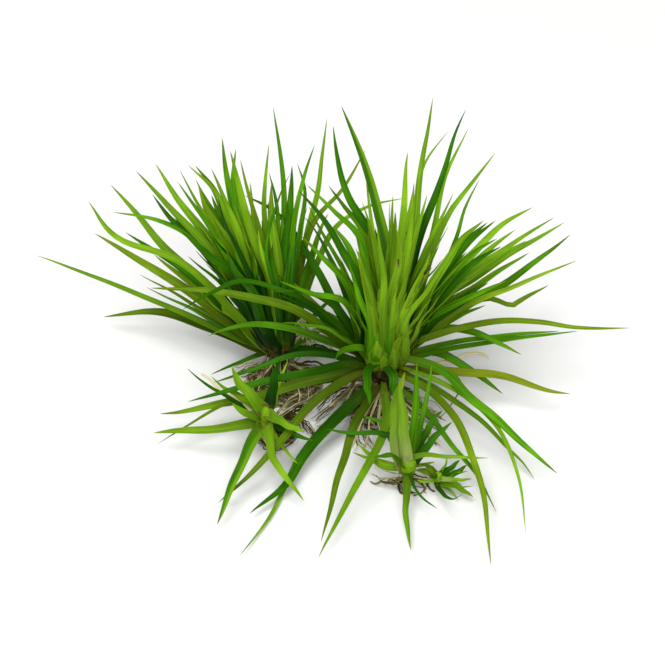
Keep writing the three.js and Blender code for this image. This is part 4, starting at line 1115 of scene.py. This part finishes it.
class CLUMP_OT_roots(bpy.types.Operator):
    """Grow the root mats and the roots that trail from them"""
    bl_idname = "clump.roots"
    bl_label = "Roots"

    def execute(self, context):
        """One piece a mat, with as many roots as its size and how full it is ask for: fine and stout ones in it, a
        thick root with loose ones along each CAD strand, and the rootlets."""
        settings = context.scene.clump_roots
        fibre = kept("root", root_fibre, settings)
        fine = settings.radius / MM
        for number, (plant, mat) in enumerate(MATS.items()):
            rng = np.random.default_rng([number, ROOT_SEED])
            wide, deep, (full, old) = mat[1], mat[2], mat[4:]
            groups = []
            for count, radius in ((settings.fine, fine), (settings.stout, fine * STOUT_ROOT)):
                count = max(3, round(count * (wide * deep / LARGEST_MAT * full)))
                radii = radius * rng.uniform(0.6, 1.3, (count, 1)) * np.linspace(1.2, 0.6, MAT_RINGS)
                groups.append((mat_paths(plant, count, rng), radii, old))
            loose = 1 + round(LOOSE_ROOTS * full)
            thinner = np.linspace(1.1, 0.55, TRAIL_RINGS)
            for heights, seen in STRANDS[plant]:
                radii = np.append(TRAILING_ROOT, rng.uniform(0.7, 1.5, loose))[:, None] * fine * thinner
                groups.append((trailing_paths(plant, heights, seen, 1 + loose, 0.9, rng), radii, old))
            for count, radius, age, heights, seen in ROOTLETS[plant]:
                radii = np.array([1.0, 0.5, 0.4])[:count, None] * radius * np.linspace(1.1, 0.6, TRAIL_RINGS)
                paths = trailing_paths(plant, heights, seen, count, 0.5, rng)
                paths[0] = trailing_paths(plant, heights, seen, 1, 0.0, rng)[0]
                groups.append((paths, radii, age))
            surfaces = []
            for paths, radii, age in groups:
                ages = np.clip(age + rng.normal(0, 0.5 * min(age, 0.4), len(paths)), 0, 1)
                surfaces.append((strands(on_floor(paths, radii), radii, ages), 0))
            piece(f"{plant}_root_fibres", surfaces, [fibre], f"{plant}_roots")
        return {"FINISHED"}


class CLUMP_OT_studio(bpy.types.Operator):
    """Set the pale floor, the lamps and the camera of the front view"""
    bl_idname = "clump.studio"
    bl_label = "Studio"

    def execute(self, context):
        """A floor 6 m wide, two area lamps turned to the clump, a white room, and a camera whose lens makes the
        picture as wide as the front view's points."""
        settings = context.scene.clump_studio
        scene = context.scene
        mesh = bpy.data.meshes.new("floor")
        mesh.from_pydata([(-3, -3, 0), (3, -3, 0), (3, 3, 0), (-3, 3, 0)], [], [(0, 1, 2, 3)])
        mesh.materials.append(studio_paper(settings))
        floor = bpy.data.objects.new("floor", mesh)
        scene.collection.objects.link(floor)
        centre = CENTRE * MM
        for name, power, size, place in (
            ("key_lamp", settings.key, 0.6, (-0.25, -0.25, 0.95)),
            ("fill_lamp", settings.fill, 0.45, (0.15, -0.85, 0.75)),
        ):
            lamp = bpy.data.lights.new(name, "AREA")
            lamp.energy, lamp.size = power, size
            stand = bpy.data.objects.new(name, lamp)
            stand.location = place
            stand.rotation_mode = "QUATERNION"
            aim = Vector((float(centre[0]), 0.0, 0.015)) - stand.location
            stand.rotation_quaternion = aim.to_track_quat("-Z", "Y")
            scene.collection.objects.link(stand)
        world = bpy.data.worlds.new("room")
        world.use_nodes = True
        world.node_tree.nodes["Background"].inputs[0].default_value = (1, 1, 1, 1)
        world.node_tree.nodes["Background"].inputs[1].default_value = settings.sky
        scene.world = world
        scene.view_settings.view_transform = "Standard"
        lens = bpy.data.cameras.new("camera")
        lens.sensor_width = 36
        lens.lens = lens.sensor_width * DISTANCE / (2 * MIDDLE * POINT)
        lens.clip_start, lens.clip_end = 0.01, 20
        camera = bpy.data.objects.new("camera", lens)
        back = Vector((0, -math.cos(settings.elevation), math.sin(settings.elevation)))
        camera.location = Vector(centre.tolist()) + back * settings.distance
        camera.rotation_euler = (math.pi / 2 - settings.elevation, 0, 0)
        scene.collection.objects.link(camera)
        scene.camera = camera
        return {"FINISHED"}


class CLUMP_PT_panel(bpy.types.Panel):
    """The clump's settings and its operators"""
    bl_idname = "CLUMP_PT_panel"
    bl_label = "Eriocaulon clump"
    bl_space_type = "VIEW_3D"
    bl_region_type = "UI"
    bl_category = "Clump"

    def draw(self, context):
        """A box for each group of settings, with the operators that use them under it."""
        for settings, _, operators in GROUPS:
            box = self.layout.box()
            values = getattr(context.scene, settings)
            for name in values.bl_rna.properties.keys():
                if name not in ("rna_type", "name"):
                    box.prop(values, name)
            for operator in operators:
                box.operator(operator.bl_idname)


GROUPS = (
    ("clump_leaves", ClumpLeafSettings, (CLUMP_OT_leaves, CLUMP_OT_crowns)),
    ("clump_roots", ClumpRootSettings, (CLUMP_OT_roots,)),
    ("clump_studio", ClumpStudioSettings, (CLUMP_OT_studio,)),
)


def register():
    """Registers the settings, the operators and the panel, and gives the scene its settings."""
    for name, group, operators in GROUPS:
        for kind in (group, *operators):
            bpy.utils.register_class(kind)
        setattr(bpy.types.Scene, name, PointerProperty(type=group))
    bpy.utils.register_class(CLUMP_PT_panel)


def unregister():
    """Takes back what register did."""
    bpy.utils.unregister_class(CLUMP_PT_panel)
    for name, group, operators in GROUPS:
        delattr(bpy.types.Scene, name)
        for kind in (*operators, group):
            bpy.utils.unregister_class(kind)


def main():
    register()
    bpy.ops.clump.studio()
    bpy.ops.clump.leaves()
    bpy.ops.clump.crowns()
    bpy.ops.clump.roots()


if __name__ == "__main__":
    main()
